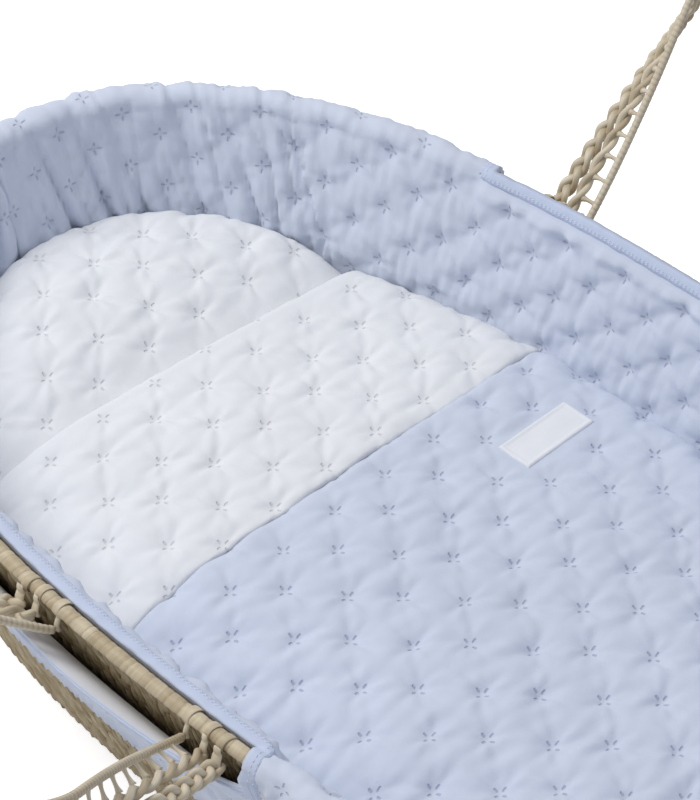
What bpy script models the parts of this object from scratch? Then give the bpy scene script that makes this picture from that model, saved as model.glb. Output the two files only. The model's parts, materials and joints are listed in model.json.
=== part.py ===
"""Moses basket: a woven body, a quilted liner, bedding and two carrying handles.

Metres, +Z up. The origin is on the floor under the middle, and +Y points to the head.
"""
import math

import bpy
import numpy as np
from mathutils import Matrix, Vector, geometry

# Driving sizes of the basket, in metres
RIM_HALF_WIDTH = 0.225
RIM_HALF_LENGTH = 0.400
RIM_HEIGHT = 0.220
SIDE_FLARE = 0.067
END_FLARE = 0.050
WALL_THICKNESS = 0.008
BASE_THICKNESS = 0.010
GAP = 0.0003

# Rim: a hoop inside a wound husk wrap, which also grips the wall's top edge
CORE_RADIUS = 0.0028
WRAP_RADIUS = 0.0047
TONGUE_THICKNESS = 0.0026

# Liner
LINER_FLOOR_THICKNESS = 0.0025
LINER_LOW_THICKNESS = 0.008
LINER_SIDE_THICKNESS = 0.019
LINER_END_THICKNESS = 0.010
LINER_TOP_THICKNESS = 0.0063
LINER_SEAT = 0.0052
LINER_BACK_GAP = 0.0008
TUFT_DEPTH = 0.003
CROWN_RISE = 0.002

# Skirt and the slots that the handles come out of
ROLL_RADIUS = 0.0100
ROLL_INNER_RADIUS = 0.0056
SKIRT_THICKNESS = 0.0035
SKIRT_DROP = 0.120
SKIRT_FOLD = 0.0012
SLOT_FOOT_END = -0.079
SLOT_HEAD_END = 0.144
SLOT_SKIRT_DROP = 0.026
BINDING_THICKNESS = 0.003
ELASTIC_RADIUS = 0.0015

# Bedding
MATTRESS_THICKNESS = 0.084
SHEET_THICKNESS = 0.0018
BEDDING_DEPTH = 0.0724
BEDDING_EASE = 0.003
EDGE_ROUND = 0.006
EDGE_DROP = 0.009
QUILT_SINK = 0.004
QUILT_RISE = 0.002
QUILT_STEP_X = 0.0219
QUILT_STEP_Y = 0.0261
QUILT_X = -0.037
QUILT_FROM_SEAM = 0.036
BED_SAG_RADIUS = 3.2
BED_CREST_X = 0.014
SEAM_FROM_HEAD = 0.325
FOLD_FROM_HEAD = 0.172
FOLD_SLANT = 0.0169
PILLOW_RISE = 0.010
PILLOW_DIP = 0.012
PILLOW_DIP_LENGTH = 0.045

# Blank patch sewn on the coverlet
LABEL_LENGTH = 0.061
LABEL_WIDTH = 0.025
LABEL_THICKNESS = 0.0012
LABEL_FROM_SIDE = 0.101
LABEL_FROM_SEAM = 0.0575
LABEL_MARGIN = 0.004

# Handles: three strands side by side, bent to one tall loop
HANDLE_HEIGHT = 0.270
HANDLE_HALF_SPAN = 0.066
HANDLE_RIGHT_Y = 0.033
HANDLE_LEFT_Y = 0.013
HANDLE_STANDOFF = 0.0135
HANDLE_ROOT = 0.0
PLAIT_RADIUS = 0.006
TWIST_RADIUS = 0.0043
CORD_RADIUS = 0.0029
STRAND_GAP = 0.0005
TIE_LENGTH = 0.0070
TIE_RADIUS = 0.0022
TIE_SPACING = 0.0155
TIE_START = 0.014
TIE_END = 0.170
LASHING_INNER_RADIUS = 0.0058
LASHING_WIDTH = 0.005

# Angles, in degrees
HANDLE_RIGHT_LEAN = 45.0
HANDLE_LEFT_LEAN = 56.0
HANDLE_RIGHT_SPLAY = 0.0
HANDLE_LEFT_SPLAY = 15.0
HANDLE_TWIST = 80.0
WRAP_MOUTH = 35.0
LASHING_START = -35.0
LASHING_END = 140.0

# Shares and counts
OUTLINE_POWER = 2.4
BASE_POWER = 3.2
RING_STEPS = 56
WALL_ROWS = 4
SKIRT_ROWS = 2
TUFT_ROW_SHARES = (0.12, 0.40, 0.68, 0.90)
FOLD_COLUMNS_PER_FACET = 2
ROLL_ARC_POINTS = 4
WRAP_OUTER_POINTS = 7
WRAP_INNER_POINTS = 5
BINDING_ARC_STEPS = 6
LASHING_ARC_POINTS = 7
PATH_STEPS = 10
CORE_SIDES = 6
STRAND_SIDES = 8
DENSE_STEPS = 4000

MATTRESS_BOTTOM = BASE_THICKNESS + GAP + LINER_FLOOR_THICKNESS + GAP
MATTRESS_TOP = MATTRESS_BOTTOM + MATTRESS_THICKNESS
BEDDING_TOP = RIM_HEIGHT - BEDDING_DEPTH
HEM_HEIGHT = RIM_HEIGHT - SKIRT_DROP
HALF_WALL = WALL_THICKNESS / 2
SEAM_Y = RIM_HALF_LENGTH - SEAM_FROM_HEAD
FOLD_Y = RIM_HALF_LENGTH - FOLD_FROM_HEAD
QUILT_Y = SEAM_Y - QUILT_FROM_SEAM
LABEL_X = RIM_HALF_WIDTH - LABEL_FROM_SIDE
LABEL_Y = SEAM_Y - LABEL_FROM_SEAM
TWIST_OFFSET = PLAIT_RADIUS + STRAND_GAP + TWIST_RADIUS
CORD_OFFSET = TWIST_OFFSET + TWIST_RADIUS + 2 * GAP + TIE_LENGTH + CORD_RADIUS
STRAP_MIDDLE = (CORD_OFFSET + CORD_RADIUS - PLAIT_RADIUS) / 2

PALM = (0.56, 0.46, 0.32)
PALM_DARK = (0.42, 0.33, 0.21)
BLUE = (0.56, 0.63, 0.78)
BLUE_BINDING = (0.53, 0.62, 0.80)
WHITE = (0.82, 0.83, 0.85)
FOAM = (0.85, 0.80, 0.62)


def clear_scene():
    """Remove every object, so that a second run starts clean."""
    for thing in list(bpy.data.objects):
        bpy.data.objects.remove(thing, do_unlink=True)


def finish(name, colour, roughness):
    """A plain Principled material for one object."""
    material = bpy.data.materials.new(name)
    material.use_nodes = True
    shader = material.node_tree.nodes["Principled BSDF"]
    shader.inputs["Base Color"].default_value = (*colour, 1.0)
    shader.inputs["Roughness"].default_value = roughness
    shader.inputs["Metallic"].default_value = 0.0
    return material


def add_object(name, points, faces, colour, roughness=0.9, parent=None):
    """Make one named object from points and faces, with its faces turned outwards."""
    mesh = bpy.data.meshes.new(name)
    mesh.from_pydata([tuple(p) for p in points], [], [tuple(f) for f in faces])
    mesh.validate()
    mesh.update()
    mesh.materials.append(finish(name, colour, roughness))
    piece = bpy.data.objects.new(name, mesh)
    bpy.context.scene.collection.objects.link(piece)
    if parent is not None:
        piece.parent = parent
    return piece


# The outline is a superellipse, squarer at the base, cut into facets that every ring shares
def unit_outline(power, half_width, half_length):
    """Corners of the outline with half-axes of one, evenly spaced round it from the foot end."""
    turn = np.linspace(0, 2 * math.pi, DENSE_STEPS + 1) - math.pi / 2
    x = np.sign(np.cos(turn)) * np.abs(np.cos(turn)) ** (2 / power)
    y = np.sign(np.sin(turn)) * np.abs(np.sin(turn)) ** (2 / power)
    step = np.hypot(np.diff(x) * half_width, np.diff(y) * half_length)
    run = np.concatenate([[0], np.cumsum(step)])
    even = np.linspace(0, run[-1], RING_STEPS + 1)
    return np.stack([np.interp(even, run, x), np.interp(even, run, y)], axis=1)


UNIT = unit_outline(OUTLINE_POWER, RIM_HALF_WIDTH, RIM_HALF_LENGTH)
UNIT_BASE = unit_outline(BASE_POWER, RIM_HALF_WIDTH - SIDE_FLARE, RIM_HALF_LENGTH - END_FLARE)
RING_SHARES = np.arange(RING_STEPS) / RING_STEPS


def outline(shares, level, out):
    """Points at these shares of the way round, at the wall's height level, moved out by out."""
    shares = np.mod(np.asarray(shares, dtype=float), 1)
    knots = np.linspace(0, 1, RING_STEPS + 1)
    lean = 1 - level / RIM_HEIGHT
    unit = UNIT + (UNIT_BASE - UNIT) * lean
    x = np.interp(shares, knots, unit[:, 0])
    y = np.interp(shares, knots, unit[:, 1])
    half_width = RIM_HALF_WIDTH - SIDE_FLARE * lean + out
    half_length = RIM_HALF_LENGTH - END_FLARE * lean + out
    return np.stack([x * half_width, y * half_length], axis=1)


def side_share(y):
    """Share of the way round at which the rim's right side has this Y."""
    half = RING_STEPS // 2 + 1
    return float(np.interp(y / RIM_HALF_LENGTH, UNIT[:half, 1], np.arange(half) / RING_STEPS))


def by_wall(out, z):
    """A section corner that stands out from the wall's middle surface at its own height."""
    return (out, z, z)


def by_rim(out, z):
    """A section corner measured from the rim's centre line."""
    return (out, z, RIM_HEIGHT)


def wall_face(out, start, end):
    """Section corners in even steps of height, because the leaning wall's facets are twisted."""
    return [by_wall(out, z) for z in np.linspace(start, end, WALL_ROWS + 1)]


def rim_arc(radius, start, end, count):
    """Section corners on an arc about the rim's centre line, angles from straight up, outwards."""
    turns = np.radians(np.linspace(start, end, count))
    return [by_rim(radius * math.sin(t), RIM_HEIGHT + radius * math.cos(t)) for t in turns]


def section_rings(shares, corners):
    """Array of section corners by places: corner k at every share."""
    rings = []
    for out, z, level in corners:
        flat = outline(shares, level, out)
        height = np.broadcast_to(z, len(flat))
        rings.append(np.column_stack([flat, height]))
    return np.array(rings)


def band_faces(corner_count, place_count, closed_places):
    """Quads round a section swept through places; corners always close on themselves."""
    faces = []
    last = place_count if closed_places else place_count - 1
    for k in range(corner_count):
        n = (k + 1) % corner_count
        for i in range(last):
            j = (i + 1) % place_count
            faces.append((k * place_count + i, k * place_count + j, n * place_count + j, n * place_count + i))
    if not closed_places:
        faces.append(tuple(k * place_count for k in range(corner_count)))
        faces.append(tuple(k * place_count + place_count - 1 for k in reversed(range(corner_count))))
    return faces


def all_round(name, corners, colour):
    """A ring-shaped solid: its section's corners run clockwise seen with the outside to the right."""
    rings = section_rings(RING_SHARES, corners)
    faces = band_faces(len(corners), RING_STEPS, True)
    return add_object(name, rings.reshape(-1, 3), faces, colour)


def part_way(shares, corners):
    """Points and faces of a solid swept over part of the ring, with flat ends."""
    rings = section_rings(shares, corners)
    return rings.reshape(-1, 3), band_faces(len(corners), len(shares), False)


def united(name, shapes, colour, parent=None):
    """One body from closed shapes that run into each other."""
    body = add_object(name, *shapes[0], colour, parent=parent)
    for k, shape in enumerate(shapes[1:]):
        tool = add_object(f"{name}_shape_{k}", *shape, colour, parent=parent)
        tool.hide_render = True
        tool.display_type = "WIRE"
        union = body.modifiers.new(f"union {k}", "BOOLEAN")
        union.operation = "UNION"
        union.solver = "EXACT"
        union.object = tool
    return body


def stacked(name, rings, colour):
    """A solid through closed rings, lowest first, with its first and last ring filled."""
    count = len(rings[0])
    faces = [tuple(reversed(range(count)))]
    for k in range(len(rings) - 1):
        for i in range(count):
            j = (i + 1) % count
            faces.append((k * count + i, k * count + j, (k + 1) * count + j, (k + 1) * count + i))
    top = (len(rings) - 1) * count
    faces.append(tuple(range(top, top + count)))
    return add_object(name, np.concatenate(rings), faces, colour)


def level_ring(level, out, z):
    """The whole outline as a closed ring of points at height z."""
    flat = outline(RING_SHARES, level, out)
    return np.column_stack([flat, np.full(len(flat), z)])


# Woven body
def make_base():
    """Flat woven floor inside the foot of the wall."""
    out = -HALF_WALL - GAP
    rings = [level_ring(0, out, 0), level_ring(0, out, BASE_THICKNESS)]
    return stacked("basket_base", rings, PALM_DARK)


def make_wall():
    """Leaning wall whose thin top edge goes up into the rim's wrap."""
    shoulder = RIM_HEIGHT - WRAP_RADIUS - 3 * GAP
    tongue_top = RIM_HEIGHT - CORE_RADIUS - GAP
    half_tongue = TONGUE_THICKNESS / 2
    corners = wall_face(-HALF_WALL, 0, shoulder)
    corners += [
        by_rim(-half_tongue, shoulder),
        by_rim(-half_tongue, tongue_top),
        by_rim(half_tongue, tongue_top),
        by_rim(half_tongue, shoulder),
    ]
    corners += wall_face(HALF_WALL, shoulder, 0)
    return all_round("basket_wall", corners, PALM)


def make_rim():
    """Hoop, and the husk wrap round it, open below where the wall's edge comes in."""
    step = 360 / CORE_SIDES
    core = rim_arc(CORE_RADIUS, step / 2, 360 - step / 2, CORE_SIDES)
    all_round("rim_core", core, PALM_DARK)
    inner_radius = (CORE_RADIUS + GAP) / math.cos(math.radians(WRAP_MOUTH))
    half_turn = 180 - WRAP_MOUTH
    outer = rim_arc(WRAP_RADIUS, -half_turn, half_turn, WRAP_OUTER_POINTS)
    inner = rim_arc(inner_radius, half_turn, -half_turn, WRAP_INNER_POINTS)
    all_round("rim_wrap", outer + inner, PALM)


# Liner
def make_liner_floor():
    """Thin cloth floor on the basket's base."""
    z = BASE_THICKNESS + GAP
    out = -HALF_WALL - 2 * GAP
    rings = [level_ring(0, out, z), level_ring(0, out, z + LINER_FLOOR_THICKNESS)]
    return stacked("liner_floor", rings, WHITE)


def liner_depth(shares):
    """Thickness of the bumper at the bedding: thick along the sides, thin round both ends."""
    y = np.abs(outline(shares, RIM_HEIGHT, 0)[:, 1]) / RIM_HALF_LENGTH
    return LINER_SIDE_THICKNESS + (LINER_END_THICKNESS - LINER_SIDE_THICKNESS) * y ** 4


def make_liner_panel(name, start, end):
    """Quilted panel against the wall, from the liner's floor to the rim, with sewn tufts."""
    shares = places_between(start, end, 1)
    outer_face = -HALF_WALL - LINER_BACK_GAP
    low = MATTRESS_BOTTOM
    top = RIM_HEIGHT - GAP
    bed_out = outer_face - liner_depth(shares)
    top_out = -LINER_SEAT - LINER_TOP_THICKNESS
    corners = [
        by_wall(outer_face - LINER_LOW_THICKNESS, low),
        by_wall(outer_face - LINER_LOW_THICKNESS, MATTRESS_TOP),
        by_wall(bed_out, BEDDING_TOP),
    ]
    for row, share in enumerate(TUFT_ROW_SHARES):
        z = BEDDING_TOP + share * (top - BEDDING_TOP)
        sunk = (np.arange(len(shares)) + row) % 2 == 0
        form = np.where(sunk, TUFT_DEPTH, -CROWN_RISE)
        form[[0, -1]] = 0
        corners.append(by_wall(bed_out + share * (top_out - bed_out) + form, z))
    corners += [
        by_rim(top_out, top),
        by_rim(-LINER_SEAT, top),
    ]
    corners += wall_face(outer_face, top - WRAP_RADIUS - HALF_WALL, low)
    points, faces = part_way(shares, corners)
    return add_object(name, points, faces, BLUE)


def skirt_fold(shares):
    """Offset of the hem at each place, out and in by turns."""
    form = np.where(np.arange(len(shares)) % 2 == 0, SKIRT_FOLD, -SKIRT_FOLD)
    form[[0, -1]] = 0
    return form


def skirt_face(top_out, hem_out):
    """Section corners below the rim, in even steps of height down to the hem."""
    steps = np.linspace(0, 1, SKIRT_ROWS + 1)[1:]
    return [by_wall(top_out + (hem_out - top_out) * s, RIM_HEIGHT - SKIRT_DROP * s) for s in steps]


def places_between(start, end, parts):
    """Ring places between two shares, each facet cut in this many parts, ends included."""
    steps = RING_STEPS * parts
    inside = np.arange(math.ceil(start * steps + 0.5), math.floor(end * steps - 0.5) + 1) / steps
    return np.concatenate([[start], inside, [end]])


def make_skirt(name, start, end):
    """Turn-over of the quilt round the rim, with the skirt that hangs from it outside the wall."""
    shares = places_between(start, end, FOLD_COLUMNS_PER_FACET)
    form = skirt_fold(shares)
    hem_in = HALF_WALL + GAP + SKIRT_FOLD
    corners = rim_arc(ROLL_RADIUS, -90, 90, ROLL_ARC_POINTS)
    corners += skirt_face(ROLL_RADIUS, hem_in + SKIRT_THICKNESS + form)
    corners += reversed(skirt_face(ROLL_INNER_RADIUS, hem_in + form))
    corners += rim_arc(ROLL_INNER_RADIUS, 90, -90, ROLL_ARC_POINTS)
    points, faces = part_way(shares, corners)
    return add_object(name, points, faces, BLUE)


def make_side_skirt(name, start, end):
    """Low strip of the skirt under a handle slot."""
    shares = places_between(start, end, FOLD_COLUMNS_PER_FACET)
    form = skirt_fold(shares)
    hem_in = HALF_WALL + GAP + SKIRT_FOLD
    top = RIM_HEIGHT - SLOT_SKIRT_DROP
    corners = [
        by_rim(ROLL_RADIUS - SKIRT_THICKNESS, top),
        by_rim(ROLL_RADIUS, top),
        by_wall(hem_in + SKIRT_THICKNESS + form, HEM_HEIGHT),
        by_wall(hem_in + form, HEM_HEIGHT),
    ]
    points, faces = part_way(shares, corners)
    return add_object(name, points, faces, BLUE)


def make_binding(name, start, end):
    """Bias binding round a slot, one closed frame with mitred corners.

    It runs along the panel's top, over the rim at both ends and along the strip's top.
    """
    def level(z):
        return by_rim(ROLL_INNER_RADIUS, z), by_rim(ROLL_RADIUS, z)

    strip_top = RIM_HEIGHT - SLOT_SKIRT_DROP + GAP
    edge = math.degrees(BINDING_THICKNESS / ROLL_RADIUS)
    inner = rim_arc(ROLL_INNER_RADIUS, -90, 90, BINDING_ARC_STEPS + 1)
    outer = rim_arc(ROLL_RADIUS, -90, 90, BINDING_ARC_STEPS + 1)
    across = list(zip(inner, outer))[1:]
    panel_outside = (inner[0], outer[0])
    panel_inside = tuple(rim_arc(radius, -90 + edge, 0, 2)[0] for radius in (ROLL_INNER_RADIUS, ROLL_RADIUS))
    strip_outside = level(strip_top)
    strip_inside = level(strip_top + BINDING_THICKNESS)
    shares = places_between(start, end, FOLD_COLUMNS_PER_FACET)
    width = BINDING_THICKNESS / (RIM_HALF_LENGTH + RIM_HALF_WIDTH) / 4
    inset = np.clip(shares, start + width, end - width)
    loop = [(s, panel_outside, q, panel_inside) for s, q in zip(shares, inset)]
    loop += [(end, pair, end - width, pair) for pair in across]
    loop += [(s, strip_outside, q, strip_inside) for s, q in zip(shares[::-1], inset[::-1])]
    loop += [(start, pair, start + width, pair) for pair in reversed(across)]
    rings = []
    for share, (near, far), inner_share, (inner_near, inner_far) in loop:
        ring = []
        for s, (out, z, height) in (
            (share, near),
            (share, far),
            (inner_share, inner_far),
            (inner_share, inner_near),
        ):
            ring.append((*outline([s], height, out)[0], z))
        rings.append(ring)
    points = np.array(rings).transpose(1, 0, 2).reshape(-1, 3)
    return add_object(name, points, band_faces(4, len(rings), True), BLUE_BINDING)


def make_liner():
    """Two inner panels, the skirt's four parts, the bindings and the elastic."""
    slot_start = side_share(SLOT_FOOT_END)
    slot_end = side_share(SLOT_HEAD_END)
    seam = GAP / RIM_HALF_LENGTH / 4
    make_liner_floor()
    make_liner_panel("liner_panel_right", seam, 0.5 - seam)
    make_liner_panel("liner_panel_left", 0.5 + seam, 1 - seam)
    make_skirt("skirt_head", slot_end + seam, 1 - slot_end - seam)
    make_skirt("skirt_foot", -slot_start + seam, slot_start - seam)
    make_side_skirt("skirt_side_right", slot_start + seam, slot_end - seam)
    make_side_skirt("skirt_side_left", 1 - slot_end + seam, 1 - slot_start - seam)
    make_binding("slot_binding_right", slot_start + seam, slot_end - seam)
    make_binding("slot_binding_left", 1 - slot_end + seam, 1 - slot_start - seam)
    middle = HALF_WALL + GAP + SKIRT_FOLD + ELASTIC_RADIUS
    height = HEM_HEIGHT - GAP - ELASTIC_RADIUS
    corners = [
        by_wall(middle - ELASTIC_RADIUS, height),
        by_wall(middle, height + ELASTIC_RADIUS),
        by_wall(middle + ELASTIC_RADIUS, height),
        by_wall(middle, height - ELASTIC_RADIUS),
    ]
    all_round("hem_elastic", corners, WHITE)


# Bedding
def make_mattress():
    """Foam block under its fitted sheet, which is open below."""
    side = -HALF_WALL - LINER_BACK_GAP - GAP - LINER_LOW_THICKNESS
    inner = side - SHEET_THICKNESS
    top = MATTRESS_TOP
    rings = [
        level_ring(MATTRESS_BOTTOM, inner, top - SHEET_THICKNESS),
        level_ring(MATTRESS_BOTTOM, inner, MATTRESS_BOTTOM),
        level_ring(MATTRESS_BOTTOM, side, MATTRESS_BOTTOM),
        level_ring(MATTRESS_BOTTOM, side, top),
    ]
    stacked("fitted_sheet", rings, WHITE)
    foam = inner - GAP
    foam_top = top - SHEET_THICKNESS - GAP
    rings = [level_ring(MATTRESS_BOTTOM, foam, MATTRESS_BOTTOM), level_ring(MATTRESS_BOTTOM, foam, foam_top)]
    stacked("mattress_core", rings, FOAM)


def clipped(ring, normal, limit):
    """The part of a convex ring on the side where normal times point is at most limit."""
    kept = []
    for i in range(len(ring)):
        here = ring[i]
        there = ring[(i + 1) % len(ring)]
        a = float(np.dot(normal, here)) - limit
        b = float(np.dot(normal, there)) - limit
        if a <= 0:
            kept.append(here)
        if (a < 0 < b) or (b < 0 < a):
            kept.append(here + (there - here) * a / (a - b))
    return np.array(kept)


def split_long(ring, longest):
    """Cut the ring's long straight edges in equal parts."""
    points = []
    for i in range(len(ring)):
        here = ring[i]
        there = ring[(i + 1) % len(ring)]
        parts = max(1, round(float(np.hypot(*(there - here))) / longest))
        points += [here + (there - here) * k / parts for k in range(parts)]
    return np.array(points)


def shrunk(ring, inset):
    """The ring drawn in by inset on all four sides of its box."""
    low = ring.min(axis=0)
    high = ring.max(axis=0)
    middle = (low + high) / 2
    half = (high - low) / 2
    return middle + (ring - middle) * (half - inset) / half


def bed_height(x):
    """Height of the bedding's top across the basket, a very wide arc."""
    return BEDDING_TOP - (x - BED_CREST_X) ** 2 / (2 * BED_SAG_RADIUS)


def quilt_points():
    """Tuft and crown places, with 1 for a tuft and 0 for a crown."""
    columns = math.ceil(RIM_HALF_WIDTH / QUILT_STEP_X) + 2
    rows = math.ceil(RIM_HALF_LENGTH / QUILT_STEP_Y) + 2
    i, j = np.meshgrid(np.arange(-rows, rows + 1), np.arange(-columns, columns + 1), indexing="ij")
    x = QUILT_X + QUILT_STEP_X * j
    y = QUILT_Y - QUILT_STEP_Y * i
    return np.stack([x.ravel(), y.ravel()], axis=1), ((i + j) % 2 == 0).ravel()


def inside(points, ring, margin):
    """Which points lie inside a convex ring that runs anticlockwise, by at least margin."""
    ok = np.ones(len(points), dtype=bool)
    for i in range(len(ring)):
        edge = ring[(i + 1) % len(ring)] - ring[i]
        length = max(float(np.hypot(*edge)), GAP)
        away = edge[0] * (points[:, 1] - ring[i][1]) - edge[1] * (points[:, 0] - ring[i][0])
        ok &= away / length > margin
    return ok


def make_pad(name, ring, height, colour, flat=None):
    """A tufted pad inside a ring: quilted top, round upper edge, drawn-in foot on the mattress."""
    widest = ring
    crest = shrunk(ring, EDGE_ROUND)
    foot = shrunk(ring, EDGE_ROUND)
    spots, tufts = quilt_points()
    keep = inside(spots, crest, EDGE_ROUND)
    extra = np.zeros((0, 2))
    if flat is not None:
        keep &= ~inside(spots, flat, -EDGE_ROUND)
        extra = flat
    spots = spots[keep]
    tufts = tufts[keep]
    count = len(crest)
    cloud = [Vector(p) for p in np.concatenate([crest, spots, extra])]
    edges = [(i, (i + 1) % count) for i in range(count)]
    first = count + len(spots)
    edges += [(first + i, first + (i + 1) % len(extra)) for i in range(len(extra))]
    result = geometry.delaunay_2d_cdt(cloud, edges, [], 1, GAP / 100)
    flat_points = np.array([tuple(p) for p in result[0]])
    z = height(flat_points)
    z[:count] -= QUILT_SINK
    lift = np.where(tufts, -QUILT_SINK, QUILT_RISE)
    z[count:count + len(spots)] += lift
    top = np.column_stack([flat_points, z])
    belly = np.column_stack([widest, height(widest) - EDGE_DROP])
    low = np.column_stack([foot, np.full(count, MATTRESS_TOP + GAP)])
    points = np.concatenate([top, belly, low])
    faces = [tuple(face) for face in result[2]]
    belly_start = len(top)
    low_start = belly_start + count
    for i in range(count):
        j = (i + 1) % count
        faces.append((belly_start + i, belly_start + j, j, i))
        faces.append((low_start + i, low_start + j, belly_start + j, belly_start + i))
    faces.append(tuple(reversed(range(low_start, low_start + count))))
    return add_object(name, points, faces, colour)


def label_corners(margin):
    """Corners of the patch, anticlockwise, with a margin."""
    half_length = LABEL_LENGTH / 2 + margin
    half_width = LABEL_WIDTH / 2 + margin
    signs = np.array([(-1, -1), (1, -1), (1, 1), (-1, 1)])
    return np.array([LABEL_X, LABEL_Y]) + signs * np.array([half_length, half_width])


def make_bedding():
    """Pillow, the coverlet's two panels and its patch, cut from one outline inside the liner."""
    depth = max(LINER_SIDE_THICKNESS, LINER_END_THICKNESS)
    room = -HALF_WALL - LINER_BACK_GAP - depth - BEDDING_EASE
    whole = outline(RING_SHARES, BEDDING_TOP, room)
    fold_normal = np.array([math.tan(FOLD_SLANT / RIM_HALF_WIDTH), 1.0])
    along_y = np.array([0.0, 1.0])
    blue = clipped(whole, along_y, SEAM_Y - GAP)
    white = clipped(clipped(whole, -along_y, -SEAM_Y), fold_normal, FOLD_Y)
    head = clipped(whole, -fold_normal, -FOLD_Y - GAP)
    longest = QUILT_STEP_X + QUILT_STEP_Y
    label = label_corners(LABEL_MARGIN)
    make_pad("coverlet", split_long(blue, longest), lambda p: bed_height(p[:, 0]), BLUE, label)
    make_pad("coverlet_band", split_long(white, longest), lambda p: bed_height(p[:, 0]), WHITE)

    def pillow_height(p):
        away = (p @ fold_normal - FOLD_Y) / PILLOW_DIP_LENGTH
        dip = PILLOW_DIP * np.clip(1 - away, 0, 1) ** 2
        return bed_height(p[:, 0]) - dip + PILLOW_RISE * np.clip(away / 2, 0, 1)

    make_pad("pillow", split_long(head, longest), pillow_height, WHITE)
    corners = label_corners(0)
    low = np.column_stack([corners, bed_height(corners[:, 0]) + 2 * GAP])
    high = low + np.array([0, 0, LABEL_THICKNESS])
    stacked("label_patch", [low, high], WHITE)


# Handles
def handle_path(count_leg, root, splay):
    """Centre line of the strap in its own plane: up one leg, round the top, down the other.

    The legs stand apart by the splay angle and touch the arc of the top. Returns distances along Y
    and up the loop, and the run from the nearer root.
    """
    slant = math.radians(splay)
    centre = (HANDLE_HEIGHT - STRAP_MIDDLE - HANDLE_HALF_SPAN * math.cos(slant)) / (1 + math.sin(slant))
    radius = HANDLE_HALF_SPAN * math.cos(slant) + centre * math.sin(slant)
    up = np.linspace(root, centre - radius * math.sin(slant), count_leg)
    turn = np.linspace(-slant, math.pi + slant, count_leg)[1:-1]
    leg = HANDLE_HALF_SPAN + up * math.tan(slant)
    y = np.concatenate([-leg, -radius * np.cos(turn), leg[::-1]])
    z = np.concatenate([up, centre + radius * np.sin(turn), up[::-1]])
    along = up / math.cos(slant)
    over = along[-1] + radius * (np.minimum(turn, math.pi - turn) + slant)
    run = np.concatenate([along, over, along[::-1]])
    return y, z, run


def handle_frames(y, z, run):
    """Middle points, width directions and flat normals of the strap, which turns as it rises."""
    points = np.column_stack([np.full(len(y), HANDLE_STANDOFF), y, z])
    tangent = np.gradient(points, axis=0)
    tangent /= np.linalg.norm(tangent, axis=1, keepdims=True)
    face = np.broadcast_to([-1.0, 0.0, 0.0], points.shape)
    inward = np.cross(tangent, face)
    inward *= np.where((inward[:, 1] * -y) + (inward[:, 2] * -z) > 0, 1, -1)[:, None]
    share = np.clip(run / (HANDLE_HEIGHT - HANDLE_HALF_SPAN), 0, 1)
    angle = math.radians(HANDLE_TWIST) * share ** 1.5
    width = inward * np.cos(angle)[:, None] + face * np.sin(angle)[:, None]
    normal = np.cross(tangent, width)
    return points, width, normal


def strand(offset, radius, splay):
    """Points and faces of a tube that follows the strap at an offset across it.

    On a splayed leg each strand starts where its lower edge stands at the hinge's height.
    """
    root = HANDLE_ROOT + math.sin(math.radians(splay)) * (radius + STRAP_MIDDLE - offset)
    y, z, run = handle_path(PATH_STEPS, root, splay)
    points, width, normal = handle_frames(y, z, run)
    centre = points + width * (offset - STRAP_MIDDLE)
    turns = (np.arange(STRAND_SIDES) + 0.5) * 2 * math.pi / STRAND_SIDES
    rings = []
    for t in turns:
        rings.append(centre + radius * (width * math.cos(t) + normal * math.sin(t)))
    return np.concatenate(rings), band_faces(STRAND_SIDES, len(centre), False)


def handle_ties(splay):
    """Short ties that run from inside the cord almost to the twist, up both legs."""
    slant = math.radians(splay)
    leg_end = handle_path(PATH_STEPS, HANDLE_ROOT, splay)[2][PATH_STEPS - 1]
    count = int((min(TIE_END, leg_end) - TIE_START) / TIE_SPACING) + 1
    up = (TIE_START + TIE_SPACING * np.arange(count)) * math.cos(slant)
    start = TWIST_OFFSET + TWIST_RADIUS + GAP - STRAP_MIDDLE
    shapes = []
    for sign in (-1, 1):
        y = sign * (HANDLE_HALF_SPAN + up * math.tan(slant))
        points, width, normal = handle_frames(y, up, up / math.cos(slant))
        along = np.cross(width, normal)
        for k in range(count):
            near = points[k] + width[k] * start
            far = near + width[k] * (TIE_LENGTH + CORD_RADIUS)
            corners = []
            for end in (near, far):
                for a, b in ((-1, -1), (1, -1), (1, 1), (-1, 1)):
                    corners.append(end + TIE_RADIUS * (a * along[k] + b * normal[k]) * math.sqrt(0.5))
            faces = [(3, 2, 1, 0), (4, 5, 6, 7)]
            faces += [(i, (i + 1) % 4, 4 + (i + 1) % 4, 4 + i) for i in range(4)]
            shapes.append((corners, faces))
    return shapes


def rim_point(y, side):
    """Point of the rim's centre line at this Y on one side of the basket."""
    share = side_share(y)
    flat = outline([share], RIM_HEIGHT, 0)[0]
    return Vector((side * flat[0], y, RIM_HEIGHT))


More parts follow.
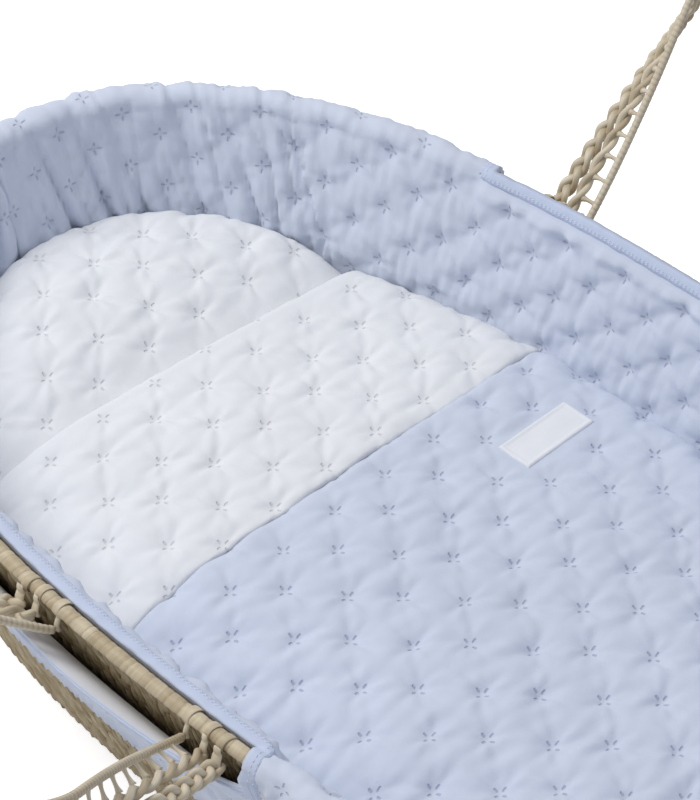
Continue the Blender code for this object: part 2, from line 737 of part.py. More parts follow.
def make_handle(side_name, side, middle_y, lean_angle, splay):
    """One handle on an empty at its hinge, and the lashings on the rim that hold its legs."""
    head = rim_point(middle_y + HANDLE_HALF_SPAN, side)
    foot = rim_point(middle_y - HANDLE_HALF_SPAN, side)
    axis = (head - foot).normalized()
    across = axis.cross(Vector((0, 0, 1))).normalized() * side
    upward = Vector((0, 0, 1))
    lean = math.radians(lean_angle)
    up = across * math.sin(lean) + upward * math.cos(lean)
    out = across * math.cos(lean) - upward * math.sin(lean)
    hinge = bpy.data.objects.new(f"handle_{side_name}_hinge", None)
    bpy.context.scene.collection.objects.link(hinge)
    turn = Matrix((out, axis, up)).transposed()
    hinge.matrix_world = Matrix.Translation((head + foot) / 2) @ turn.to_4x4()
    strands = {
        "plait": (0, PLAIT_RADIUS),
        "twist": (TWIST_OFFSET, TWIST_RADIUS),
        "cord": (CORD_OFFSET, CORD_RADIUS),
    }
    for part, sizes in strands.items():
        shapes = [strand(*sizes, splay)]
        if part == "cord":
            shapes += handle_ties(splay)
        united(f"handle_{side_name}_{part}", shapes, PALM, parent=hinge)
    flat_frame = Matrix((across, axis, upward)).transposed()
    for end_name, sign in (("foot", -1), ("head", 1)):
        steps = []
        for offset, radius in strands.values():
            steps.append((sign * (HANDLE_HALF_SPAN - offset + STRAP_MIDDLE), radius))
        points, faces = lashing(sorted(steps))
        placed = [(head + foot) / 2 + flat_frame @ Vector(p) for p in points]
        add_object(f"lashing_{side_name}_{end_name}", placed, faces, PALM_DARK)
    return hinge


def lashing(steps):
    """Husk wound over the rim under one leg, built up in a step to each strand of the leg.

    Its section is an arc over the rim's top and outer side, in the hinge's own frame.
    """
    turns = np.radians(np.linspace(LASHING_START, LASHING_END, LASHING_ARC_POINTS))
    arc = np.column_stack([np.sin(turns), np.cos(turns)])
    half = LASHING_WIDTH / 2
    flat_share = math.cos(math.pi / STRAND_SIDES)
    rings = []
    for y, radius in steps:
        outer = arc * (HANDLE_STANDOFF - radius * flat_share - GAP)
        inner = arc[::-1] * LASHING_INNER_RADIUS
        section = np.concatenate([outer, inner])
        for edge in (-half, half):
            rings.append(np.column_stack([section[:, 0], np.full(len(section), y + edge), section[:, 1]]))
    rings = np.array(rings).transpose(1, 0, 2)
    return rings.reshape(-1, 3), band_faces(rings.shape[0], rings.shape[1], False)


def turn_faces_out():
    """Turn each closed body's faces outwards by the sign of its volume."""
    for thing in bpy.data.objects:
        if thing.type != "MESH":
            continue
        mesh = thing.data
        islands = connected_faces(mesh)
        flips = []
        for island in islands:
            volume = 0.0
            for index in island:
                polygon = mesh.polygons[index]
                corners = [mesh.vertices[v].co for v in polygon.vertices]
                for k in range(1, len(corners) - 1):
                    volume += corners[0].dot(corners[k].cross(corners[k + 1]))
            if volume < 0:
                flips += island
        for index in flips:
            mesh.polygons[index].flip()
        mesh.update()


def connected_faces(mesh):
    """Groups of face numbers that share corners."""
    parent = list(range(len(mesh.vertices)))

    def root(i):
        while parent[i] != i:
            parent[i] = parent[parent[i]]
            i = parent[i]
        return i

    for polygon in mesh.polygons:
        first = root(polygon.vertices[0])
        for v in polygon.vertices[1:]:
            parent[root(v)] = first
    groups = {}
    for polygon in mesh.polygons:
        groups.setdefault(root(polygon.vertices[0]), []).append(polygon.index)
    return list(groups.values())


clear_scene()
make_base()
make_wall()
make_rim()
make_liner()
make_mattress()
make_bedding()
HINGES = [
    make_handle("right", 1, HANDLE_RIGHT_Y, HANDLE_RIGHT_LEAN, HANDLE_RIGHT_SPLAY),
    make_handle("left", -1, HANDLE_LEFT_Y, HANDLE_LEFT_LEAN, HANDLE_LEFT_SPLAY),
]
turn_faces_out()
bpy.context.view_layer.update()
for hinge in HINGES:
    spot = [round(v, 5) for v in hinge.matrix_world.translation]
    axis = [round(v, 5) for v in hinge.matrix_world.col[1][:3]]
    print(hinge.name, "at", spot, "axis", axis)
triangles = 0
for thing in bpy.data.objects:
    if thing.type == "MESH":
        triangles += sum(len(p.vertices) - 2 for p in thing.data.polygons)
print("triangles", triangles)
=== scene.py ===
# %% [markdown]
# # A moses basket with its quilted bedding
# The real thing is a palm basket with two plaited handles, a gathered liner that is turned over the rim,
# and quilted bedding inside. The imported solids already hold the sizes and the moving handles. This lesson
# dresses them: each piece is a surface worked out with numpy, close to how the cloth or the palm is made.

# %% Load the frame
import json
import math

import bmesh
import bpy
import numpy as np
from mathutils import Matrix, Vector


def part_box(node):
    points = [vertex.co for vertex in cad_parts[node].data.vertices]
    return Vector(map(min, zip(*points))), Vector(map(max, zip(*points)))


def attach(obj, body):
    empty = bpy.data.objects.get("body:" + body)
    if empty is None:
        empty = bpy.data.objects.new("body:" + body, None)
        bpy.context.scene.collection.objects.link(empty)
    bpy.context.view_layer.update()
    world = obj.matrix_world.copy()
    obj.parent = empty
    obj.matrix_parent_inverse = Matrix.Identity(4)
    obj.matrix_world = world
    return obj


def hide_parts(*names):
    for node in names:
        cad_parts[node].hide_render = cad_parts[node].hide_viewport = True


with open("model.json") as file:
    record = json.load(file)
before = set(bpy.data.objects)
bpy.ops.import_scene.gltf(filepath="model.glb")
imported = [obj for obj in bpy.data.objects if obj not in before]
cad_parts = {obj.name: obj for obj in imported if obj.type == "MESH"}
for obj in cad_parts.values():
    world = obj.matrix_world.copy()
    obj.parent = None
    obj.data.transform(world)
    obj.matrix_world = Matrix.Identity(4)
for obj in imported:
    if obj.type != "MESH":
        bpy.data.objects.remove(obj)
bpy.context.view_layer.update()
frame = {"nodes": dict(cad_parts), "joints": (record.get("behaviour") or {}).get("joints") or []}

# %% [markdown]
# The basket's outline is a superellipse, fuller at its corners than an ellipse, and squarer still at the
# base. Everything that goes round the basket, from the wall to the liner's folds, is a section carried
# along this one outline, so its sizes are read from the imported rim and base, and it is tabled once.

# %% Outline of the basket
MM = 0.001
WRAP_RADIUS = 4.7 * MM
HALF_WALL = 4.0 * MM
CLEAR = 0.3 * MM
RIM_POWER = 2.4
BASE_POWER = 3.2
TABLE_STEPS = 8000

rim_high = np.array(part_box("rim_wrap")[1])
base_high = np.array(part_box("basket_base")[1])
RIM_WIDE, RIM_LONG, RIM_Z = rim_high - WRAP_RADIUS
FLARE_WIDE, FLARE_LONG = np.array([RIM_WIDE, RIM_LONG]) - base_high[:2] - HALF_WALL - CLEAR


def unit_outline(power, wide, long):
    """Superellipse |x|^n + |y|^n = 1 from the head, clockwise from above, with its real distance round."""
    turn = np.linspace(0, 2 * np.pi, TABLE_STEPS + 1)
    x = np.sign(np.sin(turn)) * np.abs(np.sin(turn)) ** (2 / power)
    y = np.sign(np.cos(turn)) * np.abs(np.cos(turn)) ** (2 / power)
    step = np.hypot(np.diff(x) * wide, np.diff(y) * long)
    return x, y, np.concatenate([[0], np.cumsum(step)])


UNIT_X, UNIT_Y, RUN = unit_outline(RIM_POWER, RIM_WIDE, RIM_LONG)
AROUND = RUN[-1]
base_x, base_y, base_run = unit_outline(BASE_POWER, RIM_WIDE - FLARE_WIDE, RIM_LONG - FLARE_LONG)
BASE_X = np.interp(RUN / AROUND, base_run / base_run[-1], base_x)
BASE_Y = np.interp(RUN / AROUND, base_run / base_run[-1], base_y)


def outline(run, z, out):
    """Points at distance run along the rim from the head, on the wall's middle at height z, moved out.

    The unit outline and the half-axes both change evenly from the rim's to the base's with the height."""
    run, z, out = np.broadcast_arrays(np.mod(run, AROUND), z, out)
    lean = 1 - np.minimum(z, RIM_Z) / RIM_Z
    x = np.interp(run, RUN, UNIT_X) * (1 - lean) + np.interp(run, RUN, BASE_X) * lean
    y = np.interp(run, RUN, UNIT_Y) * (1 - lean) + np.interp(run, RUN, BASE_Y) * lean
    return np.stack([x * (RIM_WIDE - FLARE_WIDE * lean + out), y * (RIM_LONG - FLARE_LONG * lean + out), z],
                    axis=-1)


def by_rim(run, out, z):
    """Points measured from the rim's centre line: out sideways, at height z."""
    run, out, z = np.broadcast_arrays(run, out, z)
    points = outline(run, RIM_Z, out)
    points[..., 2] = z
    return points


def run_at(y):
    """Distance along the rim's right side to the place with this Y."""
    half = TABLE_STEPS // 2
    return float(np.interp(-y, -UNIT_Y[:half] * RIM_LONG, RUN[:half]))


def half_run(run):
    """Distance from the head along the nearer side, the same on the right and the left."""
    return np.minimum(np.mod(run, AROUND), AROUND - np.mod(run, AROUND))


print("rim", round(RIM_WIDE, 4), round(RIM_LONG, 4), round(RIM_Z, 4), "way round", round(AROUND, 3))

# %% [markdown]
# The photograph looks down on the basket from its foot end and left side through a long lens. The camera
# was solved from the rim, the quilt's even tufts and the slots, so it is written as a place, three angles
# and a focal length in pixels of the 700 by 800 frame.

# %% Camera
FRAME_WIDTH, FRAME_HEIGHT = 700, 800
CAMERA_PLACE = (-0.806, -0.696, 1.280)
CAMERA_TURN, CAMERA_RISE, CAMERA_ROLL = np.radians([-46.544, 43.571, 1.439])
FOCAL_PIXELS = 2637.0


def make_camera():
    """Camera whose back points along turn and rise, rolled about its view."""
    back = Vector((math.sin(CAMERA_TURN) * math.cos(CAMERA_RISE),
                   -math.cos(CAMERA_TURN) * math.cos(CAMERA_RISE), math.sin(CAMERA_RISE)))
    right = Vector((0, 0, 1)).cross(back).normalized()
    up = back.cross(right)
    side = right * math.cos(CAMERA_ROLL) + up * math.sin(CAMERA_ROLL)
    top = up * math.cos(CAMERA_ROLL) - right * math.sin(CAMERA_ROLL)
    data = bpy.data.cameras.new("camera")
    data.lens = FOCAL_PIXELS * data.sensor_width / max(FRAME_WIDTH, FRAME_HEIGHT)
    camera = bpy.data.objects.new("camera", data)
    camera.matrix_world = Matrix.Translation(CAMERA_PLACE) @ Matrix((side, top, back)).transposed().to_4x4()
    bpy.context.scene.collection.objects.link(camera)
    bpy.context.scene.camera = camera
    return camera


camera = make_camera()
print("lens", round(camera.data.lens, 1), "mm")

# %% [markdown]
# Materials, lamp and world are built from shader nodes, so three small helpers come first. Colours are
# written as sRGB hex codes, the way they are picked from a screen, and one function makes them linear.

# %% Small helpers for colours and nodes
def linear(code):
    """sRGB hex to linear light: c / 12.92 for dark values, else ((c + 0.055) / 1.055) to the power 2.4."""
    parts = [int(code[k:k + 2], 16) / 255 for k in (1, 3, 5)]
    return tuple(c / 12.92 if c <= 0.04045 else ((c + 0.055) / 1.055) ** 2.4 for c in parts) + (1.0,)


def add(tree, kind, inputs=None, **settings):
    """Add one node and return it. An input is linked where it is a socket, and set where it is a value."""
    node = tree.nodes.new("ShaderNode" + kind)
    for name, value in settings.items():
        setattr(node, name, value)
    for name, value in (inputs or {}).items():
        if isinstance(value, bpy.types.NodeSocket):
            tree.links.new(value, node.inputs[name])
        else:
            node.inputs[name].default_value = value
    return node


def new_material(name):
    """An empty node material with its output, as a pair of material and output node."""
    material = bpy.data.materials.new(name)
    material.use_nodes = True
    material.node_tree.nodes.clear()
    return material, add(material.node_tree, "OutputMaterial")


print("blue cloth in linear light", [round(c, 3) for c in linear("#D2D9E8")[:3]])

# %% [markdown]
# A quilt reads by its soft shade, so the light is one very wide lamp, high over the head end and a little to
# the near side, and a pale cool world fills the rest. The ground is white where the camera sees it, but still
# takes the basket's shadow.

# %% Light, world and ground
LAMP_SIZE = 1.4
LAMP_PLACE = Vector((-0.68, 1.2, 2.1))
LAMP_POWER = 31.5
FILL_STRENGTH = 0.54
LAMP_COLOUR = (1.0, 0.985, 0.96)
FILL_COLOUR = "#EAEFFA"
PAINT = "#F4F4F4"
GROUND_GLOW = 0.55
GROUND_HALF = 6.0


def seen_straight(tree):
    """1 where the camera looks at a surface itself, in a mirror or through glass."""
    path = add(tree, "LightPath")
    either = add(tree, "Math", {0: path.outputs["Is Camera Ray"], 1: path.outputs["Is Glossy Ray"]},
                 operation="MAXIMUM")
    return add(tree, "Math", {0: either.outputs[0], 1: path.outputs["Is Transmission Ray"]},
               operation="MAXIMUM").outputs[0]


def make_world():
    """White for the camera, and a cool pale fill for the light."""
    world = bpy.data.worlds.new("studio")
    bpy.context.scene.world = world
    world.use_nodes = True
    tree = world.node_tree
    tree.nodes.clear()
    fill = add(tree, "Background", {"Color": linear(FILL_COLOUR), "Strength": FILL_STRENGTH})
    white = add(tree, "Background", {"Color": (1, 1, 1, 1), "Strength": 1.0})
    mix = add(tree, "MixShader", {0: seen_straight(tree), 1: fill.outputs[0], 2: white.outputs[0]})
    add(tree, "OutputWorld", {"Surface": mix.outputs[0]})


def make_lamp():
    """One wide lamp that points at the middle of the basket."""
    data = bpy.data.lights.new("wide lamp", "AREA")
    data.shape = "DISK"
    data.size = LAMP_SIZE
    data.energy = LAMP_POWER
    data.color = LAMP_COLOUR
    lamp = bpy.data.objects.new("wide lamp", data)
    aim = LAMP_PLACE - Vector((0, 0, RIM_Z))
    lamp.matrix_world = Matrix.Translation(LAMP_PLACE) @ aim.to_track_quat("Z", "Y").to_matrix().to_4x4()
    bpy.context.scene.collection.objects.link(lamp)


def make_ground():
    """Painted white floor that glows a little for the camera, so that it shows white beside its shadow."""
    material, output = new_material("matt white paint")
    tree = material.node_tree
    paint = add(tree, "BsdfDiffuse", {"Color": linear(PAINT)})
    glow = add(tree, "Emission", {"Color": (1, 1, 1, 1), "Strength": GROUND_GLOW})
    both = add(tree, "AddShader", {0: paint.outputs[0], 1: glow.outputs[0]})
    mix = add(tree, "MixShader", {0: seen_straight(tree), 1: paint.outputs[0], 2: both.outputs[0]})
    tree.links.new(mix.outputs[0], output.inputs["Surface"])
    mesh = bpy.data.meshes.new("ground")
    half = GROUND_HALF
    mesh.from_pydata([(-half, -half, 0), (half, -half, 0), (half, half, 0), (-half, half, 0)], [],
                     [(0, 1, 2, 3)])
    mesh.materials.append(material)
    ground = bpy.data.objects.new("ground", mesh)
    bpy.context.scene.collection.objects.link(ground)


make_world()
make_lamp()
make_ground()
bpy.context.scene.view_settings.view_transform = "Standard"
print("lamp", tuple(LAMP_PLACE), "ground", GROUND_HALF)

# %% [markdown]
# Every new piece below is a grid of points that numpy works out as whole arrays. Small functions turn such
# grids into Blender meshes: one writes points, faces and any values painted on them, one gives the faces
# of a grid, and one joins a near and a far grid into a closed shell. Faces are turned outwards at the end.

# %% From grids to meshes
def grid_faces(rows, columns, close_rows=False, close_columns=False):
    """Quads of a grid of points numbered row by row, joined round where it closes."""
    row = np.arange(rows if close_rows else rows - 1)
    column = np.arange(columns if close_columns else columns - 1)
    r, c = np.meshgrid(row, column, indexing="ij")
    r2, c2 = (r + 1) % rows, (c + 1) % columns
    quads = np.stack([r * columns + c, r * columns + c2, r2 * columns + c2, r2 * columns + c], axis=-1)
    return quads.reshape(-1, 4)


def shell(front, back, faces):
    """Closed piece from two grids with the same faces: an edge that one face uses gets a wall between."""
    far = front[..., 0].size
    pairs = np.concatenate([faces[:, [k, (k + 1) % 4]] for k in range(4)])
    _, first, count = np.unique(np.sort(pairs, axis=1), axis=0, return_index=True, return_counts=True)
    edge = pairs[first[count == 1]]
    walls = np.stack([edge[:, 1], edge[:, 0], edge[:, 0] + far, edge[:, 1] + far], axis=1)
    return np.concatenate([front.reshape(-1, 3), back.reshape(-1, 3)]), [faces, faces[:, ::-1] + far, walls]


def make_piece(name, points, faces, material, uv=None, values=None, body="basket", weld=0.0, far_faces=0,
               far_material=None):
    """One mesh object that rides on a body. faces is a list of face arrays; the last ones may be far faces."""
    mesh = bpy.data.meshes.new(name)
    mesh.from_pydata(points.reshape(-1, 3).tolist(), [], [f for array in faces for f in np.asarray(array).tolist()])
    if uv is not None:
        corner = np.empty(len(mesh.loops), dtype=np.int32)
        mesh.loops.foreach_get("vertex_index", corner)
        layer = mesh.uv_layers.new(name="cloth")
        layer.data.foreach_set("uv", uv.reshape(-1, 2)[corner].ravel())
    for key, value in (values or {}).items():
        vector = np.ndim(value) > 1
        attribute = mesh.attributes.new(key, "FLOAT_VECTOR" if vector else "FLOAT", "POINT")
        attribute.data.foreach_set("vector" if vector else "value", np.asarray(value, dtype=np.float32).ravel())
    mesh.materials.append(material)
    if far_material:
        mesh.materials.append(far_material)
        near = sum(len(f) for f in faces[:-far_faces])
        index = (np.arange(len(mesh.polygons)) >= near).astype(np.int32)
        mesh.polygons.foreach_set("material_index", index)
    work = bmesh.new()
    work.from_mesh(mesh)
    if weld:
        bmesh.ops.remove_doubles(work, verts=work.verts, dist=weld)
    bmesh.ops.delete(work, geom=[v for v in work.verts if not v.link_faces], context="VERTS")
    bmesh.ops.recalc_face_normals(work, faces=work.faces)
    work.to_mesh(mesh)
    work.free()
    mesh.shade_smooth()
    piece = bpy.data.objects.new(name, mesh)
    bpy.context.scene.collection.objects.link(piece)
    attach(piece, body)
    print(name, len(mesh.vertices), "points", sum(len(f.vertices) - 2 for f in mesh.polygons), "triangles")
    return piece


def joined(shapes):
    """Several shapes, each (points, face arrays, fibre, strip colour with painted shade), as one, faces renumbered."""
    first, points, faces, fibre, tone_and_shade = 0, [], [], [], []
    for shape_points, shape_faces, shape_fibre, shape_tone_and_shade in shapes:
        count = shape_points.size // 3
        points.append(shape_points.reshape(-1, 3))
        faces += [np.asarray(f) + first for f in shape_faces]
        fibre.append(shape_fibre.reshape(-1, 3))
        tone_and_shade.append(np.broadcast_to(shape_tone_and_shade, shape_points.shape[:-1]).ravel())
        first += count
    values = {"fibre": np.concatenate(fibre), "tone_and_shade": np.concatenate(tone_and_shade)}
    return np.concatenate(points), faces, values


def raised(points, height):
    """The grid moved along its own normals by height, the normals being the cross product of its steps."""
    down, across = np.gradient(points, axis=(0, 1))
    normal = np.cross(across, down)
    normal /= np.maximum(np.linalg.norm(normal, axis=-1, keepdims=True), 1e-12)
    return points + normal * height[..., None]


def waves(u, v, count, shortest, longest, seed):
    """Even noise: a sum of sine waves of random heading, length and phase, about one high."""
    rng = np.random.default_rng(seed)
    total = np.zeros(np.broadcast(u, v).shape)
    for _ in range(count):
        heading, phase = rng.uniform(0, 2 * np.pi, 2)
        length = math.exp(rng.uniform(math.log(shortest), math.log(longest)))
        total += np.sin(2 * np.pi * (u * math.cos(heading) + v * math.sin(heading)) / length + phase)
    return total / math.sqrt(count)


def chance(i, j, salt):
    """A fixed random number from 0 to 1 for each pair of whole numbers: the loose end of a large sine."""
    mixed = np.sin(i * 12.9898 + j * 78.233 + salt * 37.719) * 43758.5453
    return mixed - np.floor(mixed)


def eased(x):
    """Smooth step from 0 to 1: x * x * (3 - 2 * x) between them."""
    x = np.clip(x, 0, 1)
    return x * x * (3 - 2 * x)


print("helpers ready")

# %% [markdown]
# Quilted jersey: two soft knit layers with wadding between them, caught together by small sewn stars of four
# stitches. The stars stand in two interleaved square lattices. UV units are lattice cells, so that
# the shader finds the nearest star by the fraction of the UV, and the mesh below sinks at the same places.
# The thread is the cloth's own colour: the shader darkens each stitch with painted shade, the shadow of its pit.
# The knit's own loops are under 0.5 mm and do not show at this distance, so both noises are drawn coarser:
# wrinkles of 18 mm that break up finer, and a 0.9 mm roughness. On the liner the wrinkles are drawn upright.

# %% Quilted jersey material
STITCH_MIDDLE = 3.3 * MM
STITCH_HALF = 0.75 * MM
STITCH_WIDE = 1.05 * MM
STITCH_CORE = 0.1 * MM
WRINKLE = 17.6 * MM
KNIT = 0.9 * MM
CLOUD_SCALE = 9.0
COTTON_ROUGH = 0.92


def star_distance(tree, uv, cell):
    """Distance to the nearest sewn stitch: the least of the distances to four capsules per lattice."""
    nearest = None
    for shift in (0.5, 0.0):
        moved = add(tree, "VectorMath", {0: uv, 1: (shift, shift, 0)}, operation="ADD")
        part = add(tree, "VectorMath", {0: moved.outputs[0]}, operation="FRACTION")
        middle = add(tree, "VectorMath", {0: part.outputs[0], 1: (0.5, 0.5, 0)}, operation="SUBTRACT")
        real = add(tree, "VectorMath", {0: middle.outputs[0], 1: (*cell, 0)}, operation="MULTIPLY")
        away = add(tree, "VectorMath", {0: real.outputs[0]}, operation="ABSOLUTE")
        for along in ((1, 0, 0), (0, 1, 0)):
            centre = tuple(STITCH_MIDDLE * a for a in along)
            half = tuple(STITCH_HALF * a for a in along)
            off = add(tree, "VectorMath", {0: away.outputs[0], 1: centre}, operation="SUBTRACT")
            size = add(tree, "VectorMath", {0: off.outputs[0]}, operation="ABSOLUTE")
            past = add(tree, "VectorMath", {0: size.outputs[0], 1: half}, operation="SUBTRACT")
            kept = add(tree, "VectorMath", {0: past.outputs[0], 1: (0, 0, 0)}, operation="MAXIMUM")
            length = add(tree, "VectorMath", {0: kept.outputs[0]}, operation="LENGTH").outputs["Value"]
            if nearest is None:
                nearest = length
            else:
                nearest = add(tree, "Math", {0: nearest, 1: length}, operation="MINIMUM").outputs[0]
    return nearest


def jersey(name, colour, stitch_shade_colour=None, cell=None, stitch_shade_strength=0.5, upright=1.0):
    """Soft cotton jersey: no gloss, a faint sheen at grazing angles, fine wrinkles, sewn stars if any.

    The stars show where the points' own value "sewn" is 1, so that bound and gathered edges have none.
    Each stitch is mixed towards the stitch colour given, which is painted shade, the shadow of its sunk pit.
    A number under 1 for upright draws the wrinkles out along Z."""
    material, output = new_material(name)
    tree = material.node_tree
    where = add(tree, "TexCoord").outputs["Object"]
    drawn = add(tree, "VectorMath", {0: where, 1: (1, 1, upright)}, operation="MULTIPLY").outputs[0]
    wrinkle = add(tree, "TexNoise", {"Vector": drawn, "Scale": 1 / WRINKLE, "Detail": 5.0,
                                     "Roughness": 0.62})
    knit = add(tree, "TexNoise", {"Vector": where, "Scale": 1 / KNIT, "Detail": 2.0})
    cloud = add(tree, "TexNoise", {"Vector": where, "Scale": CLOUD_SCALE, "Detail": 3.0})
    tint = add(tree, "MapRange", {0: cloud.outputs["Fac"], 1: 0.3, 2: 0.7, 3: 0.965, 4: 1.02})
    plain = add(tree, "Mix", {6: linear(colour), 7: tint.outputs[0], 0: 1.0}, data_type="RGBA",
                blend_type="MULTIPLY")
    base = plain.outputs[2]
    relief = add(tree, "Bump", {"Height": wrinkle.outputs["Fac"], "Strength": 0.45, "Distance": 0.001})
    fine = add(tree, "Bump", {"Height": knit.outputs["Fac"], "Strength": 0.12, "Distance": 0.0003,
                              "Normal": relief.outputs[0]})
    normal = fine.outputs[0]
    if cell is not None:
        uv = add(tree, "UVMap", uv_map="cloth").outputs[0]
        near = star_distance(tree, uv, cell)
        mask = add(tree, "MapRange", {0: near, 1: STITCH_CORE, 2: STITCH_WIDE, 3: 1.0, 4: 0.0},
                   interpolation_type="SMOOTHSTEP").outputs[0]
        sewn = add(tree, "Attribute", attribute_name="sewn").outputs["Fac"]
        mask = add(tree, "Math", {0: mask, 1: sewn}, operation="MULTIPLY").outputs[0]
        # Painted shade: the stitches are darkened as the shadow of their sunk pits; the thread is the cloth's own
        # colour.
        strength = add(tree, "Math", {0: mask, 1: stitch_shade_strength}, operation="MULTIPLY").outputs[0]
        shaded_stitch = add(tree, "Mix", {0: strength, 6: base, 7: linear(stitch_shade_colour)}, data_type="RGBA")
        base = shaded_stitch.outputs[2]
        sunk = add(tree, "Bump", {"Height": mask, "Strength": 0.7, "Distance": 0.0009, "Normal": normal},
                   invert=True)
        normal = sunk.outputs[0]
    shader = add(tree, "BsdfPrincipled", {"Base Color": base, "Roughness": COTTON_ROUGH, "Normal": normal,
                                          "Sheen Weight": 0.12, "Sheen Roughness": 0.5,
                                          "Specular IOR Level": 0.25})
    tree.links.new(shader.outputs[0], output.inputs["Surface"])
    return material


LINER_CELL = (47.4 * MM, 36.8 * MM)
BED_CELL = (43.86 * MM, 52.12 * MM)
BLUE = "#D2D9E8"
# The two stitch colours are painted shade, the darkness of the sunk stitches, not colours of the thread.
BLUE_STITCH_SHADE = "#8793BA"
WHITE = "#EBECEE"
WHITE_STITCH_SHADE = "#B4B8C4"
# Blue and white jersey are the two cloths of the set. The lining, sheeting and binding are plain cloths beside
# them, so each has its own colour but no stars.
liner_jersey = jersey("blue quilted jersey", BLUE, BLUE_STITCH_SHADE, LINER_CELL, 0.36, 0.45)
blue_bed = jersey("blue coverlet jersey", BLUE, BLUE_STITCH_SHADE, BED_CELL, 0.44)
white_bed = jersey("white coverlet jersey", WHITE, WHITE_STITCH_SHADE, BED_CELL, 0.26)
lining = jersey("grey white cotton lining", "#DDDEE3")
plain_white = jersey("white cotton sheeting", "#E9EAEC")
binding_cloth = jersey("blue bias binding", "#C9D3E8")
plain_blue = jersey("blue jersey casing", "#CAD2E6")
print("jersey cells", LINER_CELL, BED_CELL)

# %% [markdown]
# Wadding swells between the stars and the cloth puckers towards them. The height of such a quilt is a sum
# of simple shapes: a soft swell that is highest between four stars, a dimple at each star with the cloth
# bulging over it like a brow, a pulled thread line through it, and short ridges that fan out at random.

# %% Height of a quilt
def quilted(p, q, cell, puff, dimple, reach, pucker, seed, brow=0.0, pull=(0.0, 0.0)):
    """puff * (1 - cos 2pi p * cos 2pi q) / 2 - two bells at each star + brow above it + pulled lines + ridges."""
    height = puff * 0.5 * (1 - np.cos(2 * np.pi * p) * np.cos(2 * np.pi * q))
    for shift in (0.0, 0.5):
        i, j = np.round(p - shift), np.round(q - shift)
        x, y = (p - shift - i) * cell[0], (q - shift - j) * cell[1]
        r = np.hypot(x, y)
        turn = np.arctan2(y, x)
        depth = dimple * (0.75 + 0.5 * chance(i, j, seed + shift))
        height = height - depth * (0.7 * np.exp(-(r / reach) ** 2) + 0.45 * np.exp(-(r / (0.42 * reach)) ** 2))
        height = height + brow * np.exp(-(x / (10 * MM)) ** 2 - ((y + 9 * MM) / (6 * MM)) ** 2)
        height = height - pull[0] * np.exp(-np.abs(y) / (1.8 * MM) - np.abs(x) / (12 * MM))
        height = height - pull[1] * np.exp(-np.abs(x) / (1.8 * MM) - np.abs(y) / (12 * MM))
        for spokes in (5, 8):
            phase = 2 * np.pi * chance(i, j, seed + spokes + shift)
            fan = np.cos(spokes * turn + phase) * np.exp(-((r - 1.3 * reach) / reach) ** 2)
            height = height + pucker * 0.5 * fan
    return height


print("quilt heights ready")

# %% [markdown]
# The liner is one long quilt on each side. It comes up the inside of the wall, turns over the rim and
# hangs outside as a skirt with an elastic hem. Where the handles come out it has a long window: above it
# the quilt ends in a flat band that lies just inside the rim, below it a low strip stands off the wall.
# The quilt is a grid: columns go round the basket, rows follow the section from the mattress to the hem.
# The bedding presses the padded side thin on the right, which the photograph's visible edge gave as a table.

# %% Section of the liner
BED_TOP = RIM_Z - 72.4 * MM
MATTRESS_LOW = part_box("mattress_core")[0][2]
MATTRESS_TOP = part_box("fitted_sheet")[1][2]
SLOT_FOOT_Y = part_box("slot_binding_right")[0][1]
SLOT_HEAD_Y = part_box("slot_binding_right")[1][1]
HEM_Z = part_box("skirt_head")[0][2]
SLOT_START = run_at(SLOT_HEAD_Y)
SLOT_END = run_at(SLOT_FOOT_Y)
SLOT_EASE = 14 * MM
ROLL = 10.0 * MM
INNER_ROLL = 5.4 * MM
SIDE_DEPTH = 19.0 * MM
END_DEPTH = 10.0 * MM
LOW_DEPTH = 8.0 * MM
PRESSED_AT = np.array([0, 0.19, 0.28, 0.37, 0.45, 0.55, 0.75, 1])
PRESSED_DEPTH = np.array([8.0, 9.0, 10.5, 14, 17, 20, 17, 10]) * MM
BACK = HALF_WALL + 0.8 * MM
HEM_OUT = HALF_WALL + 5.0 * MM
NEAR_BAND_FROM, FAR_BAND_FROM, BAND_TO = 13.5 * MM, 11.0 * MM, 5.8 * MM
NEAR_BAND_RISE, FAR_BAND_RISE = 2.2 * MM, 10.5 * MM
BAND_STEPS = 6
ROLL_STEPS = 16
SIDE_BLEND = 60 * MM
ROLL_PRESSED, PRESSED_REACH = 2.6 * MM, 55 * MM
HIDDEN_ROWS, HIDDEN_TOP, SHOWN_LOW = 6, BED_TOP - 14 * MM, BED_TOP - 12 * MM
STRIP_TOP = RIM_Z - 15.5 * MM
STRIP_FLARE = 14.0 * MM
FLARE_LOW = RIM_Z - 38.0 * MM
INSIDE_STEP = 2.1 * MM
OUTSIDE_STEP = 2.4 * MM
COLUMN_STEP = 2.3 * MM


def liner_depth(run):
    """Thickness of the padded side at the bedding, pressed thin by the bedding along the right side."""
    y = np.abs(np.interp(np.mod(run, AROUND), RUN, UNIT_Y))
    pressed = np.interp(y, PRESSED_AT, PRESSED_DEPTH)
    return np.where(np.mod(run, AROUND) < AROUND / 2, pressed, SIDE_DEPTH + (END_DEPTH - SIDE_DEPTH) * y ** 4)


def slot_weight(run):
    """1 along a handle's window, falling to 0 a little past both of its ends."""
    half = half_run(run)
    return eased(1 - np.maximum(SLOT_START - half, half - SLOT_END) / SLOT_EASE)


def roll_radius(run):
    """Radius of the turn-over: full at the ends of the basket, pressed thinner towards each window."""
    half = half_run(run)
    away = np.maximum(SLOT_START - half, half - SLOT_END)
    return ROLL - ROLL_PRESSED * eased(1 - away / PRESSED_REACH)


def strip_flare(run):
    """How far the strip under a window leans out at its top: sin of the share of the window."""
    share = np.clip((half_run(run) - SLOT_START) / (SLOT_END - SLOT_START), 0, 1)
    return STRIP_FLARE * np.sin(np.pi * share) ** 0.7


